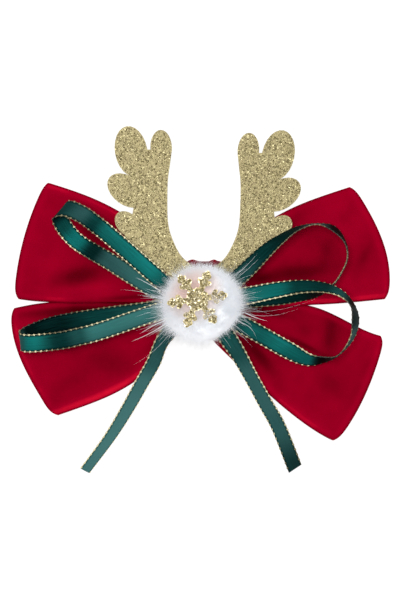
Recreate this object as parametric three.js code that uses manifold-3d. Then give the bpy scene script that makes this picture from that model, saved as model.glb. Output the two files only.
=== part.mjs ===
// A Christmas hair bow lying on its back: four red velvet loops, a pair of gold antlers, a green ribbon
// bow with gold edges, and a white fur ball that carries a gold snowflake.
// The front looks up along +Z, the antlers point along +Y, and the clip's flat underside is at Z = 0.
import * as THREE from "three";
import { mergeVertices } from "three/addons/utils/BufferGeometryUtils.js";
import Module from "manifold-3d";

const wasm = await Module();
wasm.setup();

// Driving dimensions, in millimetres and degrees.
const SEAT_GAP = 0.3;
const CLIP = {
  length: 44, width: 8, height: 6, plate: 0.8, barrelAt: 15, barrelWidth: 4, tipDrop: 3.4, bend: 9,
};
const VELVET_WALL = 1.2;
const WAIST = { halfHeight: 13.2, depth: 5 };
const BAND = { width: 13, centre: 0.9, wall: 1.2, clearance: 0.3, round: 2.4 };
const ANTLER_THICKNESS = 1.4;
const RIBBON = { width: 6.5, wall: 1, square: 0.4 };
const POMPOM = { x: 0.4, y: -1.2, core: 12.7, lock: 4.2, lockRadius: 3.5, locks: 60, rise: 12, foot: 6.2 };
const SNOWFLAKE = { x: -1.7, y: 0.3, thickness: 1.5, radius: 10.9, turn: 8, bed: 11.9, arms: 6 };

// The stack from the table up, each layer resting on the one below.
const bandBack = CLIP.height + SEAT_GAP;
const waistBack = bandBack + BAND.wall + BAND.clearance;
const waistFront = waistBack + WAIST.depth;
const bandFront = waistFront + BAND.clearance + BAND.wall;
const antlerBack = bandFront + SEAT_GAP;
const antlerFront = antlerBack + ANTLER_THICKNESS;
const ribbonLayer = (layer) => antlerFront + SEAT_GAP + RIBBON.wall / 2 + layer * (RIBBON.wall + SEAT_GAP);
const pompomSeat = ribbonLayer(2) + RIBBON.wall / 2 + SEAT_GAP;
const pompomCentre = pompomSeat + POMPOM.rise;
const snowflakeBed = pompomCentre + POMPOM.core + 0.6;

// Each velvet loop from the front: its corners where it leaves the centre band and at the far fold, how far
// each edge swells past the straight line between them (skew moves the fold's swell to its upper or lower
// half), whether it laps over (1) or under (-1) the loop beside it, and the long dent that runs out from the
// waist.
const VELVET_LOOPS = [
  {
    name: "velvet_loop_upper_left", side: -1, mouth: -7.4, neckTop: 12.9, neckBottom: 0.2,
    tipTop: [-57.8, 43.4], tipBottom: [-69.5, 0.7], tipSwell: 2.3, tipSkew: 0,
    topSwell: 4.5, topPower: 1, bottomSwell: 0.6, bottomPower: 1,
    lap: 1, lapEnd: 0.85, dentAt: 0.27, dentDepth: 2.2, dentReach: 0.72,
  },
  {
    name: "velvet_loop_lower_left", side: -1, mouth: -7.4, neckTop: -0.5, neckBottom: -12.9,
    tipTop: [-70.5, -3.4], tipBottom: [-55.4, -42.9], tipSwell: 3.4, tipSkew: 0.5,
    topSwell: 1.1, topPower: 1, bottomSwell: 4.8, bottomPower: 0.8,
    lap: -1, lapEnd: 0.85, dentAt: 0.62, dentDepth: 1.4, dentReach: 0.6,
  },
  {
    name: "velvet_loop_upper_right", side: 1, mouth: 9.2, neckTop: 12.9, neckBottom: -0.6,
    tipTop: [55.8, 41.8], tipBottom: [68.6, 0.8], tipSwell: 4.2, tipSkew: -0.3,
    topSwell: 5, topPower: 1, bottomSwell: 1.6, bottomPower: 1,
    lap: 1, lapEnd: 0.55, dentAt: 0.4, dentDepth: 1.6, dentReach: 0.64,
  },
  {
    name: "velvet_loop_lower_right", side: 1, mouth: 9.2, neckTop: -1.2, neckBottom: -12.9,
    tipTop: [67.1, -13.9], tipBottom: [49.9, -51.9], tipSwell: 2.6, tipSkew: 0,
    topSwell: 5.3, topPower: 2, bottomSwell: 3.9, bottomPower: 0.4,
    lap: -1, lapEnd: 0.55, dentAt: 0.66, dentDepth: 1.8, dentReach: 0.72,
  },
];

// The loop from the side: out along the front, round the far fold and home along the table.
// Reach is the share of the way out, height is the middle of the velvet above the table.
const VELVET_PROFILE = [
  { reach: 0, height: 11.7 },
  { reach: 0.12, height: 11.8 },
  { reach: 0.3, height: 12.9 },
  { reach: 0.58, height: 12 },
  { reach: 0.82, height: 9.4 },
  { reach: 0.96, height: 7 },
  { reach: 1, height: 4.6 },
  { reach: 0.96, height: 2 },
  { reach: 0.82, height: 0.6 },
  { reach: 0.66, height: 0.6 },
  { reach: 0.5, height: 3.4 },
  { reach: 0.34, height: 7.4 },
  { reach: 0.12, height: 8.4 },
  { reach: 0, height: 8.6 },
];
const NECK = { share: 0.13, end: 0.6 };
const GATHER = { depth: 0.5, count: 2.5, start: 0.12, full: 0.26, end: 0.66 };
const VELVET_EDGE = { roll: 0.9, cornerCut: 0.014, cornerPower: 14, dentSpread: 0.12, lap: 1.1, tuck: 2.3 };
const VELVET_GRID = { across: 10, along: 26 };

// Ribbon routes, one row for each place where the ribbon bends or turns. Turn is the way that one long edge
// lies from the other as seen from the front, and lift is how far that edge is raised. Satin gives a little
// on the bias, so in a tight bend the edge is only partly squared to the route.
const RIBBON_LOOPS = [
  {
    name: "ribbon_loop_upper_left",
    rows: [
      { x: -11.2, y: 3.6, z: ribbonLayer(2), turn: 50, lift: 0 },
      { x: -21.3, y: 12.6, z: ribbonLayer(2) + 0.8, turn: 50, lift: 6 },
      { x: -34.2, y: 23.9, z: ribbonLayer(2) + 0.8, turn: 51, lift: 8 },
      { x: -44.4, y: 31.6, z: 19, turn: 54, lift: 4 },
      { x: -50.1, y: 33.5, z: 17.2, turn: 52, lift: 0 },
      { x: -52.8, y: 31.4, z: 14.8, turn: 49, lift: -4 },
      { x: -51.2, y: 27.4, z: 12.9, turn: 48, lift: -12 },
      { x: -46.6, y: 22, z: 13.3, turn: 49, lift: -18 },
      { x: -40.2, y: 17.8, z: 14.2, turn: 51, lift: -15 },
      { x: -33.8, y: 14.1, z: 15.2, turn: 54, lift: -12 },
      { x: -21.9, y: 6.6, z: 16.6, turn: 57, lift: -2 },
      { x: -11.6, y: 0.6, z: ribbonLayer(0), turn: 62, lift: 0 },
    ],
  },
  {
    name: "ribbon_loop_lower_left",
    rows: [
      { x: -11.2, y: -3.2, z: ribbonLayer(2), turn: 106, lift: 0 },
      { x: -18.3, y: -5, z: ribbonLayer(2) + 0.2, turn: 106, lift: 0 },
      { x: -37.7, y: -11.5, z: ribbonLayer(2) + 0.2, turn: 105, lift: 0 },
      { x: -52, y: -14.9, z: 18.4, turn: 100, lift: 0 },
      { x: -63, y: -16, z: 16.6, turn: 96, lift: 0 },
      { x: -67, y: -15.3, z: 13.9, turn: 97, lift: 0 },
      { x: -63.6, y: -12.4, z: 11.6, turn: 100, lift: -6 },
      { x: -54, y: -9, z: 12, turn: 103, lift: -10 },
      { x: -37.7, y: -6.2, z: 14.9, turn: 101, lift: -6 },
      { x: -20, y: -3.9, z: ribbonLayer(1) - 0.2, turn: 98, lift: 0 },
      { x: -11, y: -2.4, z: ribbonLayer(1), turn: 98, lift: 0 },
    ],
  },
  {
    name: "ribbon_loop_upper_right",
    rows: [
      { x: 9.4, y: 5, z: ribbonLayer(0) + 0.1, turn: -46, lift: 0 },
      { x: 16.1, y: 10.9, z: 17.95, turn: -46, lift: 11 },
      { x: 23.3, y: 17.9, z: 19.3, turn: -47, lift: 36 },
      { x: 28.9, y: 22.4, z: 19.7, turn: -51, lift: 58 },
      { x: 35, y: 26.2, z: 19.2, turn: -64, lift: 76 },
      { x: 42, y: 27.9, z: 17.4, turn: -90, lift: 86 },
      { x: 48.6, y: 26.2, z: 16, turn: -120, lift: 70 },
      { x: 52.8, y: 21.2, z: 15.4, turn: -155, lift: 82 },
      { x: 53.6, y: 15.6, z: 15.2, turn: -182, lift: 86 },
      { x: 51.6, y: 10.4, z: 15.2, turn: -206, lift: 86 },
      { x: 48.2, y: 5.6, z: 15.2, turn: -222, lift: 84 },
      { x: 42.6, y: 2.2, z: 15.4, turn: -246, lift: 72 },
      { x: 34.6, y: 1.6, z: 16.2, turn: -262, lift: 42 },
      { x: 24, y: 0.9, z: 16.95, turn: -266, lift: 6 },
      { x: 9.4, y: -0.2, z: ribbonLayer(0), turn: -268, lift: 0 },
    ],
  },
  {
    name: "ribbon_loop_lower_right",
    rows: [
      { x: 9.4, y: 0.6, z: ribbonLayer(1), turn: -82, lift: 0 },
      { x: 17.8, y: 1.8, z: 19.4, turn: -81, lift: 12 },
      { x: 27, y: 3.6, z: 20.4, turn: -82, lift: 26 },
      { x: 36.3, y: 4.9, z: 21.6, turn: -88, lift: 42 },
      { x: 44.4, y: 4.6, z: 22.6, turn: -98, lift: 54 },
      { x: 50.6, y: 2.6, z: 22, turn: -118, lift: 66 },
      { x: 55, y: -1.6, z: 20.4, turn: -146, lift: 74 },
      { x: 56.4, y: -7.6, z: 18.6, turn: -178, lift: 63 },
      { x: 55, y: -14.4, z: 17.2, turn: -206, lift: 72 },
      { x: 50, y: -20.4, z: 16.2, turn: -236, lift: 80 },
      { x: 44, y: -22.6, z: 16, turn: -262, lift: 60 },
      { x: 38.6, y: -22, z: 16.4, turn: -280, lift: 42 },
      { x: 30.7, y: -17.9, z: 17.4, turn: -297, lift: 8 },
      { x: 19.6, y: -11.7, z: ribbonLayer(1) + 0.2, turn: -298, lift: 0 },
      { x: 9.8, y: -6.4, z: ribbonLayer(1) + 0.2, turn: -298, lift: 0 },
    ],
  },
];
const RIBBON_TAILS = [
  {
    name: "ribbon_tail_left", cut: 0,
    rows: [
      { x: -8.6, y: -7.4, z: ribbonLayer(0) + 0.1, turn: 138, lift: 0 },
      { x: -14.6, y: -15.2, z: 17.6, turn: 150, lift: 38 },
      { x: -17.8, y: -22.9, z: 17, turn: 152, lift: 38 },
      { x: -22.4, y: -31, z: 14.6, turn: 151, lift: 40 },
      { x: -27.6, y: -40.2, z: 9.6, turn: 150, lift: 44 },
      { x: -34.3, y: -51, z: 4.8, turn: 146, lift: 50 },
      { x: -43.7, y: -63.7, z: 3.02, turn: 142, lift: 54 },
    ],
  },
  {
    name: "ribbon_tail_right", cut: -16,
    rows: [
      { x: 5.6, y: -7.6, z: ribbonLayer(0), turn: 40, lift: 0 },
      { x: 9.3, y: -13.7, z: 17, turn: 31, lift: 4 },
      { x: 13.1, y: -19.4, z: 17.3, turn: 31, lift: 26 },
      { x: 17.9, y: -28.1, z: 16.6, turn: 29, lift: 38 },
      { x: 23.5, y: -38.2, z: 12.6, turn: 27, lift: 36 },
      { x: 28.6, y: -47.4, z: 6.6, turn: 25, lift: 33 },
      { x: 34.8, y: -63, z: 2.6, turn: 21, lift: 32 },
    ],
  },
];
const RIBBON_STEPS = { loop: 48, tail: 18 };

// The left antler from the front: four rounded tines, and the inner and outer edges of the stem.
const TINES = [
  { name: "brow", x: -27.6, y: 27.8, halfLength: 5.4, halfWidth: 3.9, axis: -45 },
  { name: "bez", x: -28.2, y: 40.1, halfLength: 8, halfWidth: 5.3, axis: -35 },
  { name: "crown", x: -26.9, y: 54.6, halfLength: 9.4, halfWidth: 6, axis: -78 },
  { name: "top", x: -15.9, y: 56.2, halfLength: 6.6, halfWidth: 4, axis: -87 },
];
const STEM = [
  { y: 55.4, inner: -11.9, outer: -21.8 },
  { y: 49.9, inner: -12.5, outer: -26.4 },
  { y: 44.4, inner: -13.1, outer: -27.4 },
  { y: 37, inner: -13.1, outer: -25.4 },
  { y: 29, inner: -12.7, outer: -26.4 },
  { y: 23.4, inner: -11.2, outer: -28.6 },
  { y: 17, inner: -7.9, outer: -24.2 },
  { y: 13.4, inner: -3.8, outer: -19.4 },
  { y: 10.6, inner: 0.9, outer: -15 },
];
// The right antler is cut as the left one's mirror image, and each stands a little differently.
const ANTLERS = [
  { name: "left", mirrored: false, x: -0.55, y: -0.43, lean: -1.4 },
  { name: "right", mirrored: true, x: 0.7, y: -1, lean: -0.5 },
];
const ROOT = { x: 0.2, halfWidth: 14, top: 12, bottom: -9.8, round: 4 };

const ARM = { halfWidth: 1, branchAt: [5.6, 8.3], branchLength: [3, 2], branchAngle: 55, hub: 4.3 };

const COLOURS = { velvet: 0x8c021a, satin: 0x1b4f48, gold: 0xb0a477, fur: 0xf4f1ee, metal: 0xb9bcc0 };
const material = (name, metalness, roughness) =>
  new THREE.MeshStandardMaterial({ name, color: COLOURS[name], metalness, roughness });
const velvet = () => material("velvet", 0, 0.9);
const satin = () => material("satin", 0, 0.4);
const gold = () => material("gold", 0.8, 0.4);
const fur = () => material("fur", 0, 1);
const metal = () => material("metal", 1, 0.3);

const bow = new THREE.Group();
bow.name = "christmas_hair_bow";

function addPiece(name, geometry, surface) {
  const mesh = new THREE.Mesh(geometry, surface);
  mesh.name = name;
  bow.add(mesh);
  return mesh;
}

function toSolid(geometry) {
  const bare = geometry.index ? geometry.clone() : geometry;
  bare.deleteAttribute("normal");
  bare.deleteAttribute("uv");
  const welded = mergeVertices(bare, 1e-4);
  return new wasm.Manifold(new wasm.Mesh({
    numProp: 3,
    vertProperties: new Float32Array(welded.attributes.position.array),
    triVerts: new Uint32Array(welded.index.array),
  }));
}

function toGeometry(solid) {
  const { vertProperties, triVerts } = solid.getMesh();
  const geometry = new THREE.BufferGeometry();
  geometry.setAttribute("position", new THREE.BufferAttribute(new Float32Array(vertProperties), 3));
  geometry.setIndex(new THREE.BufferAttribute(new Uint32Array(triVerts), 1));
  geometry.computeVertexNormals();
  return geometry;
}

const fuse = (solids) => solids.reduce((whole, solid) => whole.add(solid));
const FINE = 0.02;

// Bends a flat slab into a sheet of even thickness: place(across, along) gives the middle of the cloth.
function bentSheet(place, wall, stepsAcross, stepsAlong) {
  const slab = new THREE.BoxGeometry(1, 1, 1, stepsAcross, stepsAlong, 1);
  const spots = slab.attributes.position;
  const step = 1e-3;
  for (let i = 0; i < spots.count; i += 1) {
    const across = spots.getX(i) + 0.5;
    const along = spots.getY(i) + 0.5;
    const middle = place(across, along);
    const wayAcross = place(across + step, along).sub(place(across - step, along));
    const from = Math.max(along - step, 0);
    const to = Math.min(along + step, 1);
    const wayAlong = place(across, to).sub(place(across, from));
    const facing = wayAcross.cross(wayAlong).normalize();
    middle.addScaledVector(facing, spots.getZ(i) * wall);
    spots.setXYZ(i, middle.x, middle.y, middle.z);
  }
  slab.computeVertexNormals();
  return slab;
}

const splineThrough = (points) => new THREE.CatmullRomCurve3(points, false, "catmullrom", 0.5);

// Velvet loops.
const profileCurve = splineThrough(VELVET_PROFILE.map((row) => new THREE.Vector3(row.reach, row.height, 0)));

function edgeSpot(neck, tip, swell, power, away, out) {
  const chord = tip.clone().sub(neck);
  const outward = new THREE.Vector2(-chord.y, chord.x).normalize();
  if (outward.y * away < 0) outward.negate();
  const past = swell * Math.sin(Math.PI * out) ** power;
  return neck.clone().addScaledVector(chord, out).addScaledVector(outward, past);
}

function velvetSpot(loop, across, along) {
  const onProfile = profileCurve.getPoint(along);
  const fromMiddle = 2 * across - 1;
  const reach = onProfile.x * (1 - VELVET_EDGE.cornerCut * fromMiddle ** VELVET_EDGE.cornerPower);
  const out = THREE.MathUtils.clamp((reach - NECK.share) / (1 - NECK.share), 0, 1);
  const inBand = Math.max(1 - reach / NECK.share, 0);
  const mouthTop = new THREE.Vector2(loop.mouth, loop.neckTop);
  const mouthBottom = new THREE.Vector2(loop.mouth, loop.neckBottom);
  const tipTop = new THREE.Vector2(...loop.tipTop);
  const tipBottom = new THREE.Vector2(...loop.tipBottom);
  const top = edgeSpot(mouthTop, tipTop, loop.topSwell, loop.topPower, 1, out);
  const bottom = edgeSpot(mouthBottom, tipBottom, loop.bottomSwell, loop.bottomPower, -1, out);
  const fold = tipTop.sub(tipBottom);
  const outward = new THREE.Vector2(fold.y, -fold.x).normalize().multiplyScalar(loop.side);
  const spot = bottom.lerp(top, across);
  const tipPast = loop.tipSwell * (1 - fromMiddle ** 2) * (1 + loop.tipSkew * fromMiddle);
  spot.addScaledVector(outward, tipPast * out ** 2);
  spot.x += inBand * (loop.side * NECK.end - loop.mouth);

  const front = Math.cos(Math.PI * along);
  const lapFade = Math.max(front, 0) * THREE.MathUtils.smoothstep(out, 0.02, 0.2)
    * (1 - THREE.MathUtils.smoothstep(out, loop.lapEnd - 0.2, loop.lapEnd));
  if (loop.lap > 0) spot.y -= VELVET_EDGE.lap * lapFade * (1 - across) ** 8;
  const gatherFade = THREE.MathUtils.smoothstep(reach, GATHER.start, GATHER.full)
    * (1 - THREE.MathUtils.smoothstep(reach, GATHER.full, GATHER.end));
  const dentFade = THREE.MathUtils.smoothstep(reach, GATHER.full, 0.42)
    * (1 - THREE.MathUtils.smoothstep(reach, loop.dentReach * 0.6, loop.dentReach));
  const dent = Math.exp(-(((across - loop.dentAt) / VELVET_EDGE.dentSpread) ** 2));
  let height = onProfile.y;
  height += GATHER.depth * gatherFade * Math.cos(2 * Math.PI * GATHER.count * across);
  height -= front * VELVET_EDGE.roll * fromMiddle ** 4 * THREE.MathUtils.smoothstep(reach, GATHER.start, 0.5);
  height -= Math.max(front, 0) * loop.dentDepth * dent * dentFade;
  if (loop.lap < 0) height -= VELVET_EDGE.tuck * lapFade * across ** 8;
  return new THREE.Vector3(spot.x, spot.y, Math.max(height, VELVET_WALL / 2));
}

for (const loop of VELVET_LOOPS) {
  const place = (across, along) => velvetSpot(loop, loop.side < 0 ? 1 - across : across, along);
  addPiece(loop.name, bentSheet(place, VELVET_WALL, VELVET_GRID.across, VELVET_GRID.along), velvet());
}

// The band round the gathered waist, a ring with rounded corners seen along X.
function roundedBlock(halfWidth, low, high, round) {
  const shape = new THREE.Shape();
  shape.moveTo(halfWidth, low + round);
  shape.lineTo(halfWidth, high - round);
  shape.absarc(halfWidth - round, high - round, round, 0, Math.PI / 2);
  shape.absarc(round - halfWidth, high - round, round, Math.PI / 2, Math.PI);
  shape.absarc(round - halfWidth, low + round, round, Math.PI, Math.PI * 1.5);
  shape.absarc(halfWidth - round, low + round, round, Math.PI * 1.5, Math.PI * 2);
  return shape;
}

const extrude = (shape, depth, curveSegments = 3) =>
  new THREE.ExtrudeGeometry(shape, { depth, bevelEnabled: false, curveSegments });

const bandInside = WAIST.halfHeight + BAND.clearance;
const bandOutside = bandInside + BAND.wall;
const bandShape = roundedBlock(bandOutside, bandBack, bandFront, BAND.round);
bandShape.holes.push(
  roundedBlock(bandInside, bandBack + BAND.wall, bandFront - BAND.wall, BAND.round - BAND.wall),
);
const bandGroup = new THREE.Group();
bandGroup.rotation.set(Math.PI / 2, Math.PI / 2, 0);
bandGroup.position.x = BAND.centre - BAND.width / 2;
const band = addPiece("centre_band", extrude(bandShape, BAND.width), velvet());
bandGroup.add(band);
bow.add(bandGroup);

// Antlers, one flat sheet.
function tineSolid(tine) {
  const shape = new THREE.Shape();
  const axis = THREE.MathUtils.degToRad(tine.axis);
  shape.absellipse(tine.x, tine.y, tine.halfLength, tine.halfWidth, 0, Math.PI * 2, false, axis);
  return toSolid(extrude(shape, ANTLER_THICKNESS, 12));
}

function stemSolid() {
  const inner = STEM.map((row) => new THREE.Vector2(row.inner, row.y));
  const outer = STEM.map((row) => new THREE.Vector2(row.outer, row.y)).reverse();
  const shape = new THREE.Shape();
  shape.moveTo(inner[0].x, inner[0].y);
  shape.splineThru(inner.slice(1));
  shape.lineTo(outer[0].x, outer[0].y);
  shape.splineThru(outer.slice(1));
  return toSolid(extrude(shape, ANTLER_THICKNESS, 3));
}

const antlerAsDrawn = fuse([stemSolid(), ...TINES.map(tineSolid)]);

function antlerSolid(antler) {
  const facing = antler.mirrored ? antlerAsDrawn.mirror([1, 0, 0]) : antlerAsDrawn;
  return facing.rotate([0, 0, antler.lean]).translate([antler.x, antler.y, 0]);
}

const rootShape = roundedBlock(ROOT.halfWidth, ROOT.bottom, ROOT.top, ROOT.round);
const root = toSolid(extrude(rootShape, ANTLER_THICKNESS)).translate([ROOT.x, 0, 0]);
const antlerSheet = fuse([root, ...ANTLERS.map(antlerSolid)]).simplify(FINE);
const antlers = addPiece("antlers", toGeometry(antlerSheet), gold());
antlers.position.z = antlerBack;

// Ribbon loops and tails.
function edgeWay(row) {
  const turn = THREE.MathUtils.degToRad(row.turn);
  const lift = THREE.MathUtils.degToRad(row.lift);
  return new THREE.Vector3(Math.cos(turn) * Math.cos(lift), Math.sin(turn) * Math.cos(lift), Math.sin(lift));
}

function ribbonGeometry(rows, steps, cut) {
  const route = splineThrough(rows.map((row) => new THREE.Vector3(row.x, row.y, row.z)));
  const edges = splineThrough(rows.map(edgeWay));
  const length = route.getLength();
  const slant = Math.tan(THREE.MathUtils.degToRad(cut)) * RIBBON.width / length;
  const place = (across, along) => {
    const share = Math.min(along * (1 + slant * (across - 0.5)), 1.1);
    const over = Math.max(share - 1, 0) * length;
    const step = route.getUtoTmapping(Math.min(share, 1));
    const way = route.getTangent(step);
    const edge = edges.getPoint(step);
    edge.addScaledVector(way, -RIBBON.square * edge.dot(way)).normalize();
    const spot = route.getPoint(step).addScaledVector(way, over);
    return spot.addScaledVector(edge, (across - 0.5) * RIBBON.width);
  };
  return bentSheet(place, RIBBON.wall, 1, steps);
}

for (const loop of RIBBON_LOOPS) {
  addPiece(loop.name, ribbonGeometry(loop.rows, RIBBON_STEPS.loop, 0), satin());
}
for (const tail of RIBBON_TAILS) {
  addPiece(tail.name, ribbonGeometry(tail.rows, RIBBON_STEPS.tail, tail.cut), satin());
}

// The fur ball: locks of fur spread evenly over a round core, flat below and bedded under the snowflake.
function lockSolid(index) {
  const golden = Math.PI * (3 - Math.sqrt(5));
  const up = 1 - (2 * index + 1) / POMPOM.locks;
  const ring = Math.sqrt(1 - up * up);
  const way = new THREE.Vector3(Math.cos(golden * index) * ring, Math.sin(golden * index) * ring, up);
  const length = POMPOM.lock * (1 + 0.18 * Math.sin(index * 2.4));
  const lock = new THREE.ConeGeometry(POMPOM.lockRadius, length, 5);
  lock.translate(0, POMPOM.core - 1.4 + length / 2, 0);
  lock.applyQuaternion(new THREE.Quaternion().setFromUnitVectors(new THREE.Vector3(0, 1, 0), way));
  return toSolid(lock);
}

const core = toSolid(new THREE.IcosahedronGeometry(POMPOM.core, 4));
const ball = fuse([core, ...Array.from({ length: POMPOM.locks }, (unused, index) => lockSolid(index))]);
const under = new THREE.BoxGeometry(60, 60, 30).translate(0, 0, -POMPOM.rise - 15);
const bed = new THREE.CylinderGeometry(SNOWFLAKE.bed, SNOWFLAKE.bed, 10, 32).rotateX(Math.PI / 2);
bed.translate(SNOWFLAKE.x - POMPOM.x, SNOWFLAKE.y - POMPOM.y, snowflakeBed - pompomCentre + 5);
const footHeight = pompomSeat - antlerFront - SEAT_GAP;
const foot = new THREE.CylinderGeometry(POMPOM.foot, POMPOM.foot, footHeight + 4, 16).rotateX(Math.PI / 2);
foot.translate(0, 0, 2 - POMPOM.rise - footHeight / 2);
const trimmed = ball.subtract(toSolid(under)).subtract(toSolid(bed)).add(toSolid(foot));
const pompom = addPiece("pompom", toGeometry(trimmed.simplify(FINE)), fur());
pompom.position.set(POMPOM.x, POMPOM.y, pompomCentre);

// The snowflake: six arms with two pairs of side branches.
function bar(length, halfWidth) {
  const shape = new THREE.Shape();
  shape.moveTo(0, -halfWidth);
  shape.lineTo(length - halfWidth, -halfWidth);
  shape.absarc(length - halfWidth, 0, halfWidth, -Math.PI / 2, Math.PI / 2);
  shape.lineTo(0, halfWidth);
  return toSolid(extrude(shape, SNOWFLAKE.thickness, 2));
}

function armSolid(index) {
  const pieces = [bar(SNOWFLAKE.radius, ARM.halfWidth)];
  ARM.branchAt.forEach((at, pair) => {
    for (const side of [-1, 1]) {
      const branch = bar(ARM.branchLength[pair], ARM.halfWidth * 0.9).rotate([0, 0, side * ARM.branchAngle]);
      pieces.push(branch.translate([at, 0, 0]));
    }
  });
  return fuse(pieces).rotate([0, 0, SNOWFLAKE.turn + index * 360 / SNOWFLAKE.arms]);
}

const hub = new THREE.CylinderGeometry(ARM.hub, ARM.hub, SNOWFLAKE.thickness, SNOWFLAKE.arms);
hub.rotateX(Math.PI / 2).translate(0, 0, SNOWFLAKE.thickness / 2);
const arms = Array.from({ length: SNOWFLAKE.arms }, (unused, index) => armSolid(index));
const snowflake = addPiece("snowflake", toGeometry(fuse([toSolid(hub), ...arms]).simplify(FINE)), gold());
snowflake.position.set(SNOWFLAKE.x, SNOWFLAKE.y, snowflakeBed + SEAT_GAP);

// The hidden clip, seen along Y: a flat lower jaw, a bent upper jaw and the barrel of its hinge.
const half = CLIP.length / 2;
const jawFloor = CLIP.height - CLIP.plate;
const barrelLeft = CLIP.barrelAt - CLIP.barrelWidth / 2;
const barrelRight = CLIP.barrelAt + CLIP.barrelWidth / 2;
const clipShape = new THREE.Shape();
clipShape.moveTo(-half, 0);
clipShape.lineTo(half, 0);
clipShape.lineTo(half, CLIP.plate);
clipShape.lineTo(barrelRight, CLIP.plate);
clipShape.lineTo(barrelRight, jawFloor);
clipShape.lineTo(half, jawFloor);
clipShape.lineTo(half, CLIP.height);
clipShape.lineTo(-CLIP.bend, CLIP.height);
clipShape.lineTo(-half, CLIP.height - CLIP.tipDrop);
clipShape.lineTo(-half, jawFloor - CLIP.tipDrop);
clipShape.lineTo(-CLIP.bend, jawFloor);
clipShape.lineTo(barrelLeft, jawFloor);
clipShape.lineTo(barrelLeft, CLIP.plate);
clipShape.lineTo(-half, CLIP.plate);
clipShape.closePath();
const clip = addPiece("hair_clip", extrude(clipShape, CLIP.width), metal());
clip.rotation.x = Math.PI / 2;
clip.position.y = CLIP.width / 2;

export default bow;
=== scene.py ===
# %% [markdown]
# # A Christmas hair bow, seen from the front
# The bow lies on its back on a white table: four loops of red velvet, a pair of flat gold antlers, a
# bow of narrow green satin ribbon with gold edges, and a white fur ball that carries a gold snowflake.
# The solids are packed already. They are in metres, with the clip's underside at the origin, +Y towards
# the tips of the antlers and +Z towards the viewer. Everything below is placed in that same frame.

# %% Load the solids
import math

import bmesh
import bpy
import numpy as np
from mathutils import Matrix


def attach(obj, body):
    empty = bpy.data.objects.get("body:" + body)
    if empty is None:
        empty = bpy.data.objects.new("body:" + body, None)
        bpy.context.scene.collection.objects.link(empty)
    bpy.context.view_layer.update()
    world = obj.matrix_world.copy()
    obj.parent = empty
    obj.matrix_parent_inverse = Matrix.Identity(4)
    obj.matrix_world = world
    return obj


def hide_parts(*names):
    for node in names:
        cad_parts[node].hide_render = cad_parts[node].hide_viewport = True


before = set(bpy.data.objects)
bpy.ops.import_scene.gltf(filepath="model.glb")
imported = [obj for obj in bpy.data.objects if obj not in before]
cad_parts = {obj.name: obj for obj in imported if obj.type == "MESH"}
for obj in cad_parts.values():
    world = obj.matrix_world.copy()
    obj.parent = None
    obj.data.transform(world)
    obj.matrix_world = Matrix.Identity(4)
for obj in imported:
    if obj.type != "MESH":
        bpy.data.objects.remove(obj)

scene = bpy.context.scene
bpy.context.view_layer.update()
print("solids:", sorted(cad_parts))

# %% [markdown]
# ## Camera
# The picture looks straight down on the front through a long lens, so nothing leans and near things
# are hardly larger than far ones. A camera one metre up does the same. Its lens follows from the
# scale: one pixel of the 401 by 601 picture covers 0.37 mm at the height of the velvet.

# %% Camera
MM = 0.001
PICTURE = {"height_px": 601, "mm_per_px": 0.37, "middle_x": -0.555, "middle_y": -0.185}
EYE = {"height": 1000.0, "sharp_at": 12.0, "sensor": 36.0}

lens = bpy.data.cameras.new("overhead_lens")
lens.sensor_width = EYE["sensor"]
seen_height = PICTURE["height_px"] * PICTURE["mm_per_px"]
lens.lens = EYE["sensor"] * (EYE["height"] - EYE["sharp_at"]) / seen_height
camera = bpy.data.objects.new("overhead_camera", lens)
camera.location = (PICTURE["middle_x"] * MM, PICTURE["middle_y"] * MM, EYE["height"] * MM)
scene.collection.objects.link(camera)
scene.camera = camera
print("lens:", round(lens.lens, 1), "mm for a picture", round(seen_height, 1), "mm high")

# %% [markdown]
# ## Small helpers
# Colours are written as they are picked from a picture, and one function turns them into the linear
# light that shaders work in. Another adds a shader node with its settings, links and colour steps.
# The pieces are worked out in millimetres as tables of points, and one function turns such a table
# into a mesh that rides on the bow.

# %% Helpers for colours, nodes and meshes
def from_hex(code):
    shares = [int(code[i:i + 2], 16) / 255 for i in (0, 2, 4)]
    return [c / 12.92 if c <= 0.04045 else ((c + 0.055) / 1.055) ** 2.4 for c in shares] + [1.0]


def add_node(tree, kind, inputs=(), steps=(), **settings):
    """Adds a shader node with its settings, its values and links, and a colour ramp's steps."""
    node = tree.nodes.new(kind)
    for name, value in settings.items():
        setattr(node, name, value)
    for socket, value in dict(inputs).items():
        if isinstance(value, bpy.types.NodeSocket):
            tree.links.new(value, node.inputs[socket])
        else:
            node.inputs[socket].default_value = value
    if steps:
        stops = node.color_ramp.elements
        while len(stops) < len(steps):
            stops.new(0.5)
        for stop, (place, code) in zip(stops, steps):
            stop.position, stop.color = place, from_hex(code)
    return node


def new_surface(name):
    surface = bpy.data.materials.new(name)
    surface.use_nodes = True
    surface.node_tree.nodes.clear()
    return surface, surface.node_tree


def new_piece(name, spots, faces, surface, replaced=(), smooth=True):
    mesh = bpy.data.meshes.new(name)
    mesh.from_pydata((np.asarray(spots) * MM).tolist(), [], [list(map(int, face)) for face in faces])
    mesh.update()
    mesh.polygons.foreach_set("use_smooth", [smooth] * len(mesh.polygons))
    mesh.materials.append(surface)
    piece = bpy.data.objects.new(name, mesh)
    scene.collection.objects.link(piece)
    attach(piece, "root")
    if replaced:
        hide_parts(*replaced)
    print(name + ":", len(mesh.vertices), "points,", len(mesh.polygons), "faces")
    return piece


def unit(ways):
    return ways / np.maximum(np.linalg.norm(ways, axis=-1, keepdims=True), 1e-9)


def fade(value, start, end):
    share = np.clip((value - start) / (end - start), 0, 1)
    return share * share * (3 - 2 * share)


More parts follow.
